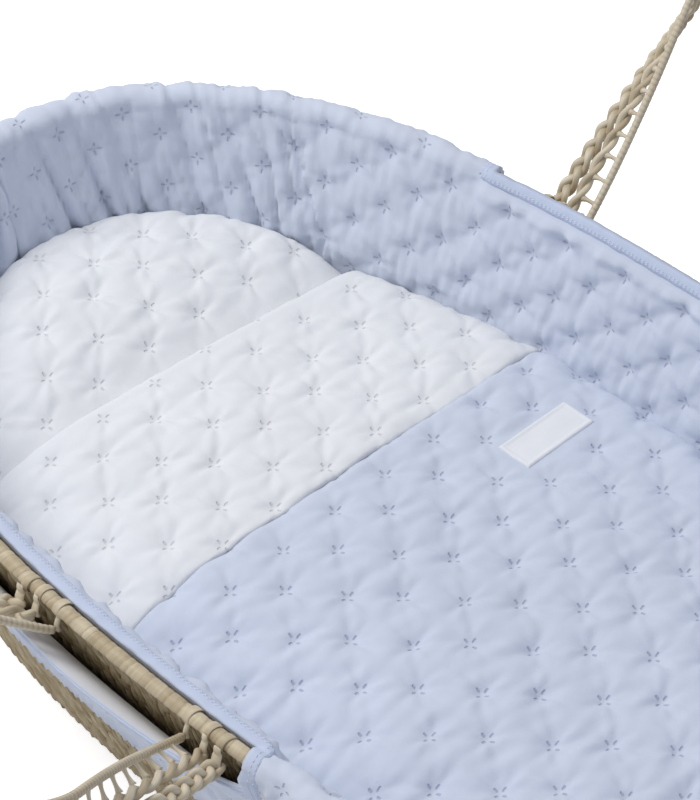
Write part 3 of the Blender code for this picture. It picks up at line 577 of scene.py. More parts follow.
def strip_out(run, z):
    """The strip's distance from the wall: a straight line from rim to hem, plus a flare at its top."""
    lean = 1 - z / RIM_Z
    top_lean, hem_lean = 1 - STRIP_TOP / RIM_Z, 1 - HEM_Z / RIM_Z
    share = (lean - top_lean) / (hem_lean - top_lean)
    top, hem = roll_radius(run), HEM_OUT - FLARE_WIDE * hem_lean
    flare = strip_flare(run) * np.clip((z - FLARE_LOW) / (STRIP_TOP - FLARE_LOW), 0, 1.1) ** 1.15
    return top + (hem - top) * share + flare + FLARE_WIDE * lean


def liner_front(run):
    """Grid of the liner's showing face: inside rows, the roll over the rim, then the skirt to its hem."""
    low = np.linspace(MATTRESS_LOW, HIDDEN_TOP, HIDDEN_ROWS)
    high = np.linspace(SHOWN_LOW, RIM_Z, round((RIM_Z - SHOWN_LOW) / INSIDE_STEP))
    z = np.concatenate([low, high])[:, None]
    run = run[None, :]
    depth, slot, roll = liner_depth(run), slot_weight(run), roll_radius(run)
    far = eased(0.5 + (AROUND / 2 - np.mod(run, AROUND)) / SIDE_BLEND)
    band_from = NEAR_BAND_FROM + (FAR_BAND_FROM - NEAR_BAND_FROM) * far
    share = np.clip((z - BED_TOP) / (RIM_Z - BED_TOP), 0, 1)
    sunk = np.clip((BED_TOP - z) / (BED_TOP - MATTRESS_LOW), 0, 1)
    top_out = roll + (band_from + MM - roll) * slot
    out = -(BACK + depth + (top_out - BACK - depth) * share ** 1.5) + (depth - LOW_DEPTH) * sunk ** 0.5
    inside = outline(run, z, out)
    turn = np.radians(np.linspace(-90, 90, ROLL_STEPS))[1:, None]
    roll_out, roll_z = roll * np.sin(turn), RIM_Z + roll * np.cos(turn)
    step = np.arange(ROLL_STEPS - 1)[:, None] / (BAND_STEPS - 1)
    flat_out = -(band_from + (BAND_TO - band_from) * np.clip(step, 0, 1))
    near_z = NEAR_BAND_RISE * np.sin(np.pi / 2 * np.clip(0.35 + step, 0, 1))
    flat_z = RIM_Z + near_z + (FAR_BAND_RISE * np.clip(0.15 + 0.85 * step, 0, 1) - near_z) * far
    use = slot * (step <= 1)
    top = by_rim(run, roll_out + (flat_out - roll_out) * use, roll_z + (flat_z - roll_z) * use)
    fall = np.linspace(0, 1, round((RIM_Z - HEM_Z) / OUTSIDE_STEP))[1:, None]
    z = RIM_Z + (HEM_Z - RIM_Z) * fall
    plain = roll + (HEM_OUT - roll) * fall
    skirt = outline(run, z, plain + (strip_out(run, z) - plain) * slot)
    return np.concatenate([inside, top, skirt]), len(low) + len(high)


print("slot from", round(SLOT_START, 3), "to", round(SLOT_END, 3), "along the rim")

# %% [markdown]
# The stars' places on the liner were read from the photograph as distances: a column every 23.7 mm round
# the rim, a star every 36.8 mm down it, and neighbouring columns half a step apart. The rows wander down
# along the side, which a short table repeats. At the head the elastic gathers the liner into deep folds.

# %% Stars and folds of the liner
FIRST_COLUMN = 29.1 * MM
STAR_ROW = 34.3 * MM
DRIFT_RUN = np.array([0, 30, 77, 122, 171, 219, 262, 307, 353, 452, 503, 600]) * MM
DRIFT_DOWN = np.array([6, 6.5, 5, 1, 0, 0, 1, 6, 11, 15, 13, 12]) * MM
FOLD_LINE = np.array([(244.9, 149.1), (238.2, 166.2), (225.8, 191.6), (218.6, 208.8), (215.8, 228.8)]) * MM
SEAM_LINE = np.array([(19.6, 163), (16.8, 181), (11.5, 201), (7.8, 227)]) * MM
HEM_GATHER = 6.0 * MM
FOLDS = ((33.0 * MM, 5.6 * MM, 1), (17.0 * MM, 4.2 * MM, 2), (9.0 * MM, 1.5 * MM, 3))
FOLD_DRAWN, FOLD_PROUD = 7.0 * MM, 3.0 * MM
HEAD_SEAM_DEEP, HEAD_SEAM_WIDE = 1.8 * MM, 1.6 * MM


def section_length(points, top_row):
    """Distance down the section from the top of the roll, positive on the inside."""
    step = np.linalg.norm(np.diff(points, axis=0), axis=-1)
    total = np.concatenate([np.zeros((1, points.shape[1])), np.cumsum(step, axis=0)])
    return total[top_row][None, :] - total


def star_cells(run, down):
    """Lattice units of the liner: whole numbers at the stars of the odd columns, halves at the even ones."""
    half = half_run(run)
    drift = np.interp(half, DRIFT_RUN, DRIFT_DOWN)
    p = np.broadcast_to((half - FIRST_COLUMN) / LINER_CELL[0], down.shape)
    q = (down - STAR_ROW - drift) / LINER_CELL[1]
    return p, q


def gathers(run, z, seed):
    """Upright folds: creases 1 - |sin| of a distance that wanders, strong round both ends, faint beside."""
    half = half_run(run)
    head = eased(1 - (half - 200 * MM) / (110 * MM))
    foot = eased(1 - (AROUND / 2 - half - 170 * MM) / (90 * MM))
    strength = np.maximum(np.maximum(head, foot), 0.2)
    low = 0.75 + 0.6 * np.clip((RIM_Z - z) / (RIM_Z - BED_TOP), 0, 1.2)
    total = 0
    for length, size, salt in FOLDS:
        wander = 0.34 * waves(run, z * 0.4, 9, 40 * MM, 170 * MM, seed + salt)
        fade = 0.6 + 0.4 * waves(run, z * 0.6, 7, 50 * MM, 120 * MM, seed + salt + 20)
        crease = 1 - np.abs(np.sin(np.pi * ((run + 0.2 * (z - RIM_Z)) / length + wander)))
        total = total + size * fade * (0.3 - crease ** 2.4)
    return strength * low * total


def deep_fold(run, z):
    """The one overlapping fold at the head's right: a step whose left side is drawn back."""
    away = run - np.interp(z, FOLD_LINE[:, 1], FOLD_LINE[:, 0])
    drawn = -FOLD_DRAWN * np.exp(np.minimum(away, 0) / (11 * MM)) * (away < 0)
    proud = FOLD_PROUD * np.exp(-np.maximum(away, 0) / (9 * MM)) * (away >= 0)
    return (drawn + proud) * np.clip((RIM_Z + 9 * MM - z) / (20 * MM), 0, 1)


def head_seam(run, z):
    """The seam beside the head: a narrow groove along a measured line."""
    away = run - np.interp(z, SEAM_LINE[:, 1], SEAM_LINE[:, 0])
    return -HEAD_SEAM_DEEP * np.exp(-np.abs(away) / HEAD_SEAM_WIDE)


print("fold at", FOLD_LINE[0], "seam at", SEAM_LINE[0])

# %% [markdown]
# Each half of the liner is one closed piece: the showing face with its relief, a plain lining behind it, and
# walls where the quilt is cut, at the window, the hem and the two seams. The relief is held back where the
# quilt is thin, and is left out on the bound edges, which real bias strip keeps flat.

# %% The liner's two halves
BACK_TOP_ROW, BACK_STRIP_ROW = 3, 7
STAR_REACH = 8.0 * MM
LINER_PUFF, LINER_DIMPLE, LINER_PUCKER, LINER_BROW = 2.0 * MM, 3.2 * MM, 0.9 * MM, 1.1 * MM
LINER_PULL = (0.3 * MM, 0.9 * MM)
WRINKLE_HIGH = 0.6 * MM
LEAST_PADDING = 1.3 * MM
RIDGE_HIGH, RIDGE_ROWS = 2.4 * MM, 1.8
HEM_ZONE, RUFFLE_HIGH = 26 * MM, 1.7 * MM


def liner_back(run):
    """The far face: up the wall, under the band, round the rim beneath the roll, down inside the skirt."""
    slot = slot_weight(run)
    under = INNER_ROLL + (BAND_TO - INNER_ROLL) * slot
    edge = INNER_ROLL + (roll_radius(run) + strip_flare(run) - 2.2 * MM - INNER_ROLL) * slot
    strip_low = strip_out(run, FLARE_LOW) - FLARE_WIDE * (1 - FLARE_LOW / RIM_Z) - 2.5 * MM
    plain_low = INNER_ROLL - FLARE_WIDE * (1 - FLARE_LOW / RIM_Z)
    low = plain_low + (strip_low - plain_low) * slot
    diagonal = INNER_ROLL * math.sqrt(0.5)
    rows = [outline(run, MATTRESS_LOW, -BACK), outline(run, RIM_Z / 2, -BACK),
            outline(run, RIM_Z - 12 * MM, -BACK - 2 * MM), by_rim(run, -under, RIM_Z + 0.6 * MM * slot),
            by_rim(run, -diagonal, RIM_Z + diagonal), by_rim(run, 0, RIM_Z + INNER_ROLL),
            by_rim(run, diagonal, RIM_Z + diagonal), by_rim(run, edge, STRIP_TOP), by_rim(run, low, FLARE_LOW),
            outline(run, HEM_Z, HALF_WALL + 1.5 * MM)]
    return np.stack(rows)


def in_window(faces, columns, rows, first, last):
    """Which quads of a grid lie between two rows and two columns."""
    row, column = faces[:, 0] // columns, faces[:, 0] % columns
    return (row >= rows[0]) & (row < rows[1]) & (column >= first) & (column < last)


def strip_quads(a, b):
    """Quads between two rows of point numbers."""
    return np.stack([a[:-1], a[1:], b[1:], b[:-1]], axis=1)


def make_liner(side, run, nodes):
    """One half of the liner: showing face, far face of lining, window and closed edges."""
    front, inside_rows = liner_front(run)
    top_row = inside_rows + ROLL_STEPS // 2 - 1
    down = section_length(front, top_row)
    half = half_run(run)
    p, q = star_cells(run[None, :], down)
    z = front[..., 2]
    wide = np.broadcast_to(half[None, :], z.shape)
    inner = np.arange(len(front))[:, None] <= top_row
    low = np.clip((z - BED_TOP + 25 * MM) / (20 * MM), 0, 1)
    height = quilted(p, q, LINER_CELL, LINER_PUFF, LINER_DIMPLE, STAR_REACH, LINER_PUCKER, 3, LINER_BROW,
                     LINER_PULL)
    height = height * (0.55 + 0.45 * eased((half - 190 * MM) / (80 * MM)))
    height = height + gathers(wide, z, 11 if side > 0 else 17)
    height = height + WRINKLE_HIGH * waves(wide, z * 0.3, 26, 7 * MM, 24 * MM, 5)
    height = height + np.where(inner & (side > 0), deep_fold(wide, z) + head_seam(wide, z), 0)
    slot = slot_weight(run)[None, :]
    rows = np.arange(len(front))[:, None]
    band = slot * (rows >= inside_rows - 1) * (rows <= inside_rows + BAND_STEPS)
    strip = slot * (rows > top_row) * np.clip((z - FLARE_LOW) / (8 * MM), 0, 1)
    calm = 1 - 0.5 * np.exp(-((rows - top_row) / 5) ** 2)
    room = np.where(inner & (rows < inside_rows), np.hypot(*(face_gap(front, run))),
                    roll_radius(run)[None, :] - INNER_ROLL) - LEAST_PADDING
    height = np.maximum(height * calm, -np.maximum(room, 0.5 * MM))
    plain = np.maximum(band, strip)
    height = height * (1 - plain) * low
    height = height + slot * RIDGE_HIGH * np.exp(-((rows - inside_rows + 3) / RIDGE_ROWS) ** 2) * (
        1 + 0.45 * waves(wide, 0 * z, 10, 9 * MM, 24 * MM, 21))
    hem = np.clip(1 - (z - HEM_Z) / HEM_ZONE, 0, 1) * ~inner
    ruffle = np.sin(2 * np.pi * (wide / HEM_GATHER + 0.25 * waves(wide, z, 6, 20 * MM, 70 * MM, 8)))
    height = height * (1 - hem) + RUFFLE_HIGH * hem ** 0.8 * ruffle
    edge = np.minimum(run - run[0], run[-1] - run)[None, :]
    height = height - 1.5 * MM * np.exp(-edge / (2.0 * MM))
    face = raised(front, height * facing(front))
    back = liner_back(run)
    grid_rows, columns = face.shape[:2]
    strip_row = top_row + int(np.argmax(z[top_row:, columns // 2] < STRIP_TOP + 0.5 * MM))
    window = (inside_rows + BAND_STEPS - 1, strip_row)
    inside = (half >= SLOT_START - CLEAR) & (half <= SLOT_END + CLEAR)
    first, last = int(np.argmax(inside)), columns - 1 - int(np.argmax(inside[::-1]))
    near, far = grid_faces(grid_rows, columns), grid_faces(len(back), columns)
    number = np.arange(face[..., 0].size).reshape(grid_rows, columns)
    behind = number.size + np.arange(len(back) * columns).reshape(len(back), columns)
    gap_rows = (BACK_TOP_ROW, BACK_STRIP_ROW)
    walls = [strip_quads(number[0], behind[0]), strip_quads(number[-1], behind[-1])]
    for row, far_row in zip(window, gap_rows):
        walls.append(strip_quads(number[row, first:last + 1], behind[far_row, first:last + 1]))
    ends = []
    for column in (first, last):
        ring = np.concatenate([number[window[0]:window[1] + 1, column],
                               behind[gap_rows[0]:gap_rows[1] + 1, column][::-1]])
        ends.append(ring[None, :])
    ends += [np.concatenate([number[:, column], behind[::-1, column]])[None, :] for column in (0, columns - 1)]
    faces = [near[~in_window(near, columns, window, first, last)], *walls, *ends,
             far[~in_window(far, columns, gap_rows, first, last)] + number.size]
    points = np.concatenate([face.reshape(-1, 3), back.reshape(-1, 3)])
    uv = np.concatenate([np.stack([p, q], axis=-1).reshape(-1, 2), np.zeros((behind.size, 2))])
    sewn = np.concatenate([(1 - np.maximum(plain, hem)).ravel(), np.zeros(behind.size)])
    piece = make_piece("liner_right" if side > 0 else "liner_left", points, faces, liner_jersey, uv=uv,
                       values={"sewn": sewn}, far_faces=1, far_material=lining)
    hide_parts(*nodes)


def face_gap(front, run):
    """Thickness of the quilt at each point: how far it lies inside the wall's inner side at its height."""
    wall = outline(run[None, :], front[..., 2], -BACK)
    return front[..., 0] - wall[..., 0], front[..., 1] - wall[..., 1]


def facing(front):
    """1 where the grid's own normals point away from the wall, so that heights swell into the basket."""
    row, column = 8, front.shape[1] // 2
    down, across = np.gradient(front, axis=(0, 1))
    normal = np.cross(across, down)[row, column]
    return 1.0 if float(np.dot(normal, -front[row, column] * (1, 1, 0))) > 0 else -1.0


def liner_columns(start, end):
    """Distances of columns between two places, with one at each end of the window if it lies between."""
    stops = [start] + [s for s in (SLOT_START, SLOT_END) if start < s < end] + [end]
    parts = [np.linspace(a, b, round((b - a) / COLUMN_STEP) + 1)[:-1] for a, b in zip(stops, stops[1:])]
    return np.concatenate(parts + [[end]])


right_run = liner_columns(CLEAR / 2, AROUND / 2 - CLEAR / 2)
make_liner(1, right_run, ("liner_panel_right", "skirt_head", "skirt_side_right"))
make_liner(-1, AROUND - right_run[::-1], ("liner_panel_left", "skirt_foot", "skirt_side_left"))

# %% [markdown]
# Each window is bound with bias strip, folded over the cut edge and sewn down with two rows of stitches.
# The same section as the liner's gives its surface, lifted by the cloth's thickness; the grid's faces in
# the window are left out and a second grid just below closes it. The stitches are tiny beads of eight faces.

# %% Slot bindings with their stitches
BINDING_WIDE = 10.0 * MM
BINDING_THICK = 1.3 * MM
STITCH_PITCH = 3.0 * MM
STITCH_LONG = 2.1 * MM
STITCH_THICK = 0.42 * MM
STITCH_ROWS = (0.35, 0.95)
LIP_INSET = {1: 0.6, -1: 1.3}
LINE_POINTS = 1600


def path_on(grid, row, column):
    """Points of a grid at fractional rows and columns, by straight lines between its points."""
    r = np.clip(row.astype(int), 0, grid.shape[0] - 2)
    c = np.clip(column.astype(int), 0, grid.shape[1] - 2)
    a, b = (row - r)[:, None], (column - c)[:, None]
    near = grid[r, c] * (1 - b) + grid[r, c + 1] * b
    far = grid[r + 1, c] * (1 - b) + grid[r + 1, c + 1] * b
    return near * (1 - a) + far * a


def spaced(points, step):
    """Points evenly spaced along an open line, with the directions there."""
    along = np.concatenate([[0], np.cumsum(np.linalg.norm(np.diff(points, axis=0), axis=1))])
    at = np.arange(step / 2, along[-1], step)
    even = np.stack([np.interp(at, along, points[:, k]) for k in range(3)], axis=1)
    ahead = np.stack([np.interp(at + step / 4, along, points[:, k]) for k in range(3)], axis=1)
    direction = ahead - even
    return even, direction / np.linalg.norm(direction, axis=1, keepdims=True)


def stitch_beads(points, step):
    """Points and faces of beads along a line: two tips and a ring of four points round each middle."""
    middle, along = spaced(points, step)
    side = np.cross(along, (0.3, 0.2, 1.0))
    side /= np.linalg.norm(side, axis=1, keepdims=True)
    up = np.cross(side, along)
    ring = [middle + along * STITCH_LONG / 2, middle + side * STITCH_THICK, middle + up * STITCH_THICK,
            middle - side * STITCH_THICK, middle - up * STITCH_THICK, middle - along * STITCH_LONG / 2]
    corners = np.array([(0, 1, 2), (0, 2, 3), (0, 3, 4), (0, 4, 1), (5, 2, 1), (5, 3, 2), (5, 4, 3), (5, 1, 4)])
    faces = (corners[None] + 6 * np.arange(len(middle))[:, None, None]).reshape(-1, 3)
    return np.stack(ring, axis=1).reshape(-1, 3), faces


def make_binding(side):
    """The bound frame of one window: band inside the rim, over the rim at both ends, strip edge outside."""
    run = liner_columns(SLOT_START - BINDING_WIDE, SLOT_END + BINDING_WIDE)
    run = run if side > 0 else AROUND - run[::-1]
    front, inside_rows = liner_front(run)
    half = half_run(run)
    z = front[..., 2]
    middle = len(run) // 2
    top_row = inside_rows + ROLL_STEPS // 2 - 1
    strip_row = top_row + int(np.argmax(z[top_row:, middle] < STRIP_TOP + 0.5 * MM))
    start = inside_rows + (1 if side > 0 else -1)
    rows = slice(start, strip_row + 4)
    grid = front[rows]
    window = (inside_rows + BAND_STEPS - 1 - start, strip_row - start)
    inside = (half >= SLOT_START - CLEAR) & (half <= SLOT_END + CLEAR)
    first, last = int(np.argmax(inside)), len(run) - 1 - int(np.argmax(inside[::-1]))
    faces = grid_faces(*grid.shape[:2])
    faces = faces[~in_window(faces, grid.shape[1], window, first, last)]
    sign = facing(front)
    lift = np.full(grid.shape[:2], BINDING_THICK)
    lift[[0, -1]] = 0.5 * MM
    lift[:, [0, -1]] = 0.5 * MM
    lift = lift + 0.25 * MM * waves(half[None, :], z[rows], 14, 6 * MM, 30 * MM, 31)
    near, far = raised(grid, lift * sign), raised(grid, np.full(lift.shape, -0.4 * MM) * sign)
    points, parts = shell(near, far, faces)
    cloth = make_piece("slot_binding_right_cloth" if side > 0 else "slot_binding_left_cloth", points, parts,
                       binding_cloth)
    name = "right" if side > 0 else "left"
    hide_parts("slot_binding_" + name)
    beads, bead_faces, count = [], [], 0
    ends = np.array([0, grid.shape[1] - 1])
    for inset in STITCH_ROWS:
        lip, edge = inset + LIP_INSET[side], grid.shape[0] - 1 - inset * 0.8
        corner_rows = np.array([lip, lip, edge, edge, lip])
        corner_columns = np.array([ends[0] + inset * 2, ends[1] - inset * 2, ends[1] - inset * 2,
                                   ends[0] + inset * 2, ends[0] + inset * 2])
        share = np.linspace(0, 4, LINE_POINTS)
        line = path_on(raised(grid, (lift + 0.1 * MM) * sign), np.interp(share, np.arange(5), corner_rows),
                       np.interp(share, np.arange(5), corner_columns))
        bead_points, triangles = stitch_beads(line, STITCH_PITCH)
        beads.append(bead_points)
        bead_faces.append(triangles + count)
        count += len(bead_points)
    thread = make_piece("slot_stitches_" + name, np.concatenate(beads), bead_faces, thread_material)


thread_material = jersey("pale polyester thread", "#DCE2F2")
for side in (1, -1):
    make_binding(side)

# %% [markdown]
# The skirt's hem is gathered on elastic in a narrow casing. It is a ring of small sections whose radius
# swells and pinches at nearly the pace of the ruffles above it, so the two look sewn together.

# %% Elastic hem
HEM_RADIUS = 1.9 * MM
HEM_SIDES = 8
HEM_STEPS = 1000


def make_hem():
    """Casing of the elastic: a thin ring under the hem whose radius swells and pinches as it gathers."""
    run = np.linspace(0, AROUND, HEM_STEPS + 1)[:-1][:, None]
    turn = 2 * np.pi * np.arange(HEM_SIDES)[None, :] / HEM_SIDES
    radius = HEM_RADIUS * (1 + 0.16 * np.sin(2 * np.pi * run / HEM_GATHER * 0.97 + waves(run, 0 * run, 6, 40 * MM,
                                                                                   90 * MM, 4)))
    points = outline(run, HEM_Z - 0.6 * MM + radius * np.sin(turn), HALF_WALL + 3.4 * MM + radius * np.cos(turn))
    piece = make_piece("gathered_hem", points, [grid_faces(HEM_STEPS, HEM_SIDES, True, True)], plain_blue)
    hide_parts("hem_elastic")


make_hem()

# %% [markdown]
# The bedding is three quilted pads on one bed: the pillow at the head, the coverlet's white head panel with
# its rolled edge, and the blue panel. Each is a grid of rows across the bed, cut to the room that the liner
# leaves. Its height is the bed's wide crown, the quilt's relief, a rounded edge and its own seams. The
# stars' lattice was measured in the photograph: 43.9 by 52.1 mm, turned by 0.8 degrees.

# %% Shape of the bed
SEAM_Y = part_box("coverlet_band")[0][1]
FOLD_MIDDLE_Y = RIM_LONG - 172 * MM
FOLD_SLOPE = 0.0751
BED_EASE = 1.2 * MM
CREST_X = 14 * MM
CROWN_RADIUS = 3.2
STAR_X, STAR_Y = -37 * MM, 39 * MM
STAR_TURN = math.radians(0.803)
ODD_ROW_SHIFT = 0.053
BED_ROW = 2.0 * MM
BED_COLUMNS = 181
EDGE_WIDE, EDGE_DEEP = 16 * MM, 8.5 * MM
NEAR_EDGE_WIDE, NEAR_EDGE_DEEP = 85 * MM, 38 * MM
HEM_ROLL = 8.5 * MM
HEM_ROLL_STEPS = 12
BED_REACH, BED_PUCKER, BED_BROW, BED_PULL = 8.5 * MM, 0.8 * MM, 0.4 * MM, (0.6 * MM, 0.2 * MM)

edge_run = np.linspace(0.1 * MM, AROUND / 2 - 0.1 * MM, 1601)
right_edge, left_edge = [outline(run, BED_TOP, -(BACK + liner_depth(run) + BED_EASE))
                         for run in (edge_run, AROUND - edge_run)]
quarter = len(edge_run) // 2


def right_end(y):
    """X of the bed's right edge at this Y, from its table."""
    return np.interp(-y, -right_edge[:, 1], right_edge[:, 0])


def left_end(y):
    """X of the bed's left edge at this Y, from its table."""
    return np.interp(-y, -left_edge[:, 1], left_edge[:, 0])


def end_y(x):
    """Y of the head end of the bed's edge at this X."""
    on_right = np.interp(x, right_edge[:quarter, 0], right_edge[:quarter, 1])
    return np.where(x > 0, on_right, np.interp(-x, -left_edge[:quarter, 0], left_edge[:quarter, 1]))


def bed_lattice(x, y):
    """Lattice units of the bedding's stars: the turned grid, with the odd rows drawn back by sin squared."""
    dx, dy = x - STAR_X, y - STAR_Y
    p = (dx * math.cos(STAR_TURN) + dy * math.sin(STAR_TURN)) / BED_CELL[0]
    q = (dx * math.sin(STAR_TURN) - dy * math.cos(STAR_TURN)) / BED_CELL[1]
    return p, q - ODD_ROW_SHIFT * np.sin(np.pi * q) ** 2


def crown(x):
    """Height of the bedding's top across the basket: BED_TOP - x^2 / 2R about the crest."""
    return BED_TOP - (x - CREST_X) ** 2 / (2 * CROWN_RADIUS)


def bed_edge(x, y, left, right):
    """Rounded edge: a quarter ellipse by the distance dx dy / sqrt(dx^2 + dy^2) to the bed's outline."""
    side = np.minimum(x - left, right - x)
    end = np.maximum(end_y(x) - np.abs(y), 0)
    away = side * end / np.maximum(np.hypot(side, end), 1e-9)
    near = eased((0.02 - x) / 0.12)
    wide = EDGE_WIDE + (NEAR_EDGE_WIDE - EDGE_WIDE) * near
    deep = EDGE_DEEP + (NEAR_EDGE_DEEP - EDGE_DEEP) * near
    share = np.clip(1 - away / wide, 0, 1)
    return -deep * (1 - np.sqrt(np.maximum(1 - share ** 2, 0)))


def bed_rows(start, end):
    """Y of the rows between two places, spaced evenly along the bed's edge."""
    along = np.interp([-start, -end], -right_edge[:, 1], edge_run)
    count = round(abs(along[1] - along[0]) / BED_ROW) + 1
    return np.interp(np.linspace(along[0], along[1], count), edge_run, right_edge[:, 1])


def bed_grid(y_row, slant):
    """X and Y of a pad's grid. Its rows slant by slant, a number per row, so each end is found in steps."""
    left, right = left_end(y_row), right_end(y_row)
    for _ in range(6):
        left, right = left_end(y_row - slant * left), right_end(y_row - slant * right)
    share = np.linspace(0, 1, BED_COLUMNS)[None, :]
    x = left[:, None] + (right - left)[:, None] * share
    return x, y_row[:, None] - slant[:, None] * x, left[:, None], right[:, None]


def bed_quilt(x, y, puff, dimple, seed):
    """Relief of a bedding quilt, with its lattice: stars, creases drawn along X, and a fine unevenness."""
    p, q = bed_lattice(x, y)
    height = quilted(p, q, BED_CELL, puff, dimple, BED_REACH, BED_PUCKER, seed, BED_BROW, BED_PULL)
    height = height + 0.6 * MM * waves(x * 0.35, y, 22, 9 * MM, 34 * MM, seed)
    height = height + 0.9 * MM * waves(x, y, 9, 70 * MM, 190 * MM, seed + 40)
    return height, p, q


def make_pad(name, points, uv, material, node):
    """Close a pad: its edge goes down in two rings and a flat face lies on the mattress."""
    rows, columns = points.shape[:2]
    number = np.arange(rows * columns).reshape(rows, columns)
    loop = np.concatenate([number[0], number[1:, -1], number[-1, -2::-1], number[-2:0:-1, 0]])
    edge = points.reshape(-1, 3)[loop]
    floor = MATTRESS_TOP + CLEAR
    belly, foot = edge.copy(), edge * (0.975, 0.99, 1)
    belly[:, 2] = floor + (edge[:, 2] - floor) * 0.55
    foot[:, 2] = floor
    first = number.size
    rings = np.stack([loop, first + np.arange(len(loop)), first + len(loop) + np.arange(len(loop))])
    a, b = rings[:-1], rings[1:]
    walls = np.stack([a, b, np.roll(b, -1, axis=1), np.roll(a, -1, axis=1)], axis=-1).reshape(-1, 4)
    every = np.concatenate([points.reshape(-1, 3), belly, foot])
    flat_uv = np.concatenate([uv.reshape(-1, 2), uv.reshape(-1, 2)[loop], uv.reshape(-1, 2)[loop]])
    piece = make_piece(name, every, [grid_faces(rows, columns), walls, rings[-1][None, :]], material, uv=flat_uv,
                       values={"sewn": np.ones(len(every))})
    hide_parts(node)


print("bed from", round(float(right_edge[-1, 1]), 3), "to", round(float(right_edge[0, 1]), 3))

# %% [markdown]
# The two panels of the coverlet meet in a sunk seam whose stitching puckers both. The white panel ends at
# the pillow in a soft roll, a half circle of wadding. The pillow dips under it and rises to the head, and
# a place for the sewn patch is kept flat in the blue panel.

# %% Coverlet, its white panel and the pillow
LABEL_MIDDLE = np.array([RIM_WIDE - 101 * MM, SEAM_Y - 57.5 * MM])
LABEL_SIZE = np.array([61.0 * MM, 25.0 * MM])
LABEL_THICK = 1.3 * MM
LABEL_REST = 9.0 * MM
SEAM_DEEP, SEAM_WIDE = 2.2 * MM, 2.4 * MM
SEAM_SLOPE = 0.042
SEAM_MIDDLE_Y = SEAM_Y + 7.9 * MM
END_GAP = 0.3 * MM
DIP_DEEP, DIP_WIDE, PILLOW_RISE = 12 * MM, 45 * MM, 10 * MM


def off_label(x, y):
    """0 under the patch and 1 away from it: an eased distance from its rectangle."""
    dx = np.abs(x - LABEL_MIDDLE[0]) - LABEL_SIZE[0] / 2
    dy = np.abs(y - LABEL_MIDDLE[1]) - LABEL_SIZE[1] / 2
    return eased(np.hypot(np.maximum(dx, 0), np.maximum(dy, 0)) / LABEL_REST)


def seam_height(x, y):
    """The seam's groove -D exp(-|d| / w), and short puckers that fade away from it."""
    away = np.abs(y + SEAM_SLOPE * x - SEAM_MIDDLE_Y)
    pucker = 0.55 * MM * waves(x, 0 * x, 14, 9 * MM, 26 * MM, 77) * np.exp(-away / (9 * MM))
    return -SEAM_DEEP * np.exp(-away / SEAM_WIDE) + pucker * (1 - np.exp(-away / (2 * MM)))


y_row = bed_rows(SEAM_MIDDLE_Y - CLEAR, right_edge[-1, 1] + END_GAP)
share = (y_row - right_edge[-1, 1]) / (SEAM_MIDDLE_Y - right_edge[-1, 1])
x, y, left, right = bed_grid(y_row, SEAM_SLOPE * share)
height, p, q = bed_quilt(x, y, 1.5 * MM, 3.0 * MM, 51)
height = height * off_label(x, y) + seam_height(x, y) + bed_edge(x, y, left, right)
make_pad("coverlet_blue", np.stack([x, y, crown(x) + height], axis=-1), np.stack([p, q], axis=-1),
         blue_bed, "coverlet")

top_y = FOLD_MIDDLE_Y - HEM_ROLL
y_row = bed_rows(SEAM_MIDDLE_Y + CLEAR, top_y)
share = (y_row - SEAM_MIDDLE_Y) / (top_y - SEAM_MIDDLE_Y)
x, y, left, right = bed_grid(y_row, SEAM_SLOPE + (FOLD_SLOPE - SEAM_SLOPE) * share)
height, p, q = bed_quilt(x, y, 1.2 * MM, 2.2 * MM, 52)
height = height * eased((top_y - y_row) / (14 * MM))[:, None] + seam_height(x, y) + bed_edge(x, y, left, right)
turn = np.linspace(0, np.pi, HEM_ROLL_STEPS + 1)[1:, None]
ripple = 0.6 * MM * waves(x[-1], 0 * x[-1], 12, 14 * MM, 60 * MM, 61)[None, :]
roll_x = np.repeat(x[-1:], HEM_ROLL_STEPS, axis=0)
roll_y = y[-1:] + (HEM_ROLL + ripple) * np.sin(turn)
roll_z = (crown(x[-1]) + height[-1])[None, :] - HEM_ROLL * (1 - np.cos(turn))
points = np.concatenate([np.stack([x, y, crown(x) + height], axis=-1), np.stack([roll_x, roll_y, roll_z], axis=-1)])
far_p, far_q = bed_lattice(roll_x, y[-1:] + HEM_ROLL * turn)
uv = np.concatenate([np.stack([p, q], axis=-1), np.stack([far_p, far_q], axis=-1)])
make_pad("coverlet_white", points, uv, white_bed, "coverlet_band")

y_row = bed_rows(FOLD_MIDDLE_Y + CLEAR, right_edge[0, 1] - END_GAP)
share = (right_edge[0, 1] - y_row) / (right_edge[0, 1] - FOLD_MIDDLE_Y)
x, y, left, right = bed_grid(y_row, FOLD_SLOPE * share)
height, p, q = bed_quilt(x, y, 1.6 * MM, 2.3 * MM, 53)
from_fold = (y - FOLD_MIDDLE_Y + FOLD_SLOPE * x) / DIP_WIDE
dip = -DIP_DEEP * np.clip(1 - from_fold, 0, 1) ** 2 + PILLOW_RISE * eased(from_fold / 2)
height = height * np.clip(0.4 + from_fold, 0, 1) + dip + 1.15 * bed_edge(x, y, left, right)
make_pad("pillow_quilted", np.stack([x, y, crown(x) + height], axis=-1), np.stack([p, q], axis=-1),
         white_bed, "pillow")

# %% [markdown]
# The patch on the coverlet is a plain woven tape, left blank, with a narrow overlocked edge. It is one grid
# bent over the bed, thick at its sewn rim and a little sunk inside it, with a row of slanted stitches.

# %% The sewn patch
LABEL_ROWS, LABEL_COLUMNS = 33, 71
LABEL_RIM = 2.2 * MM


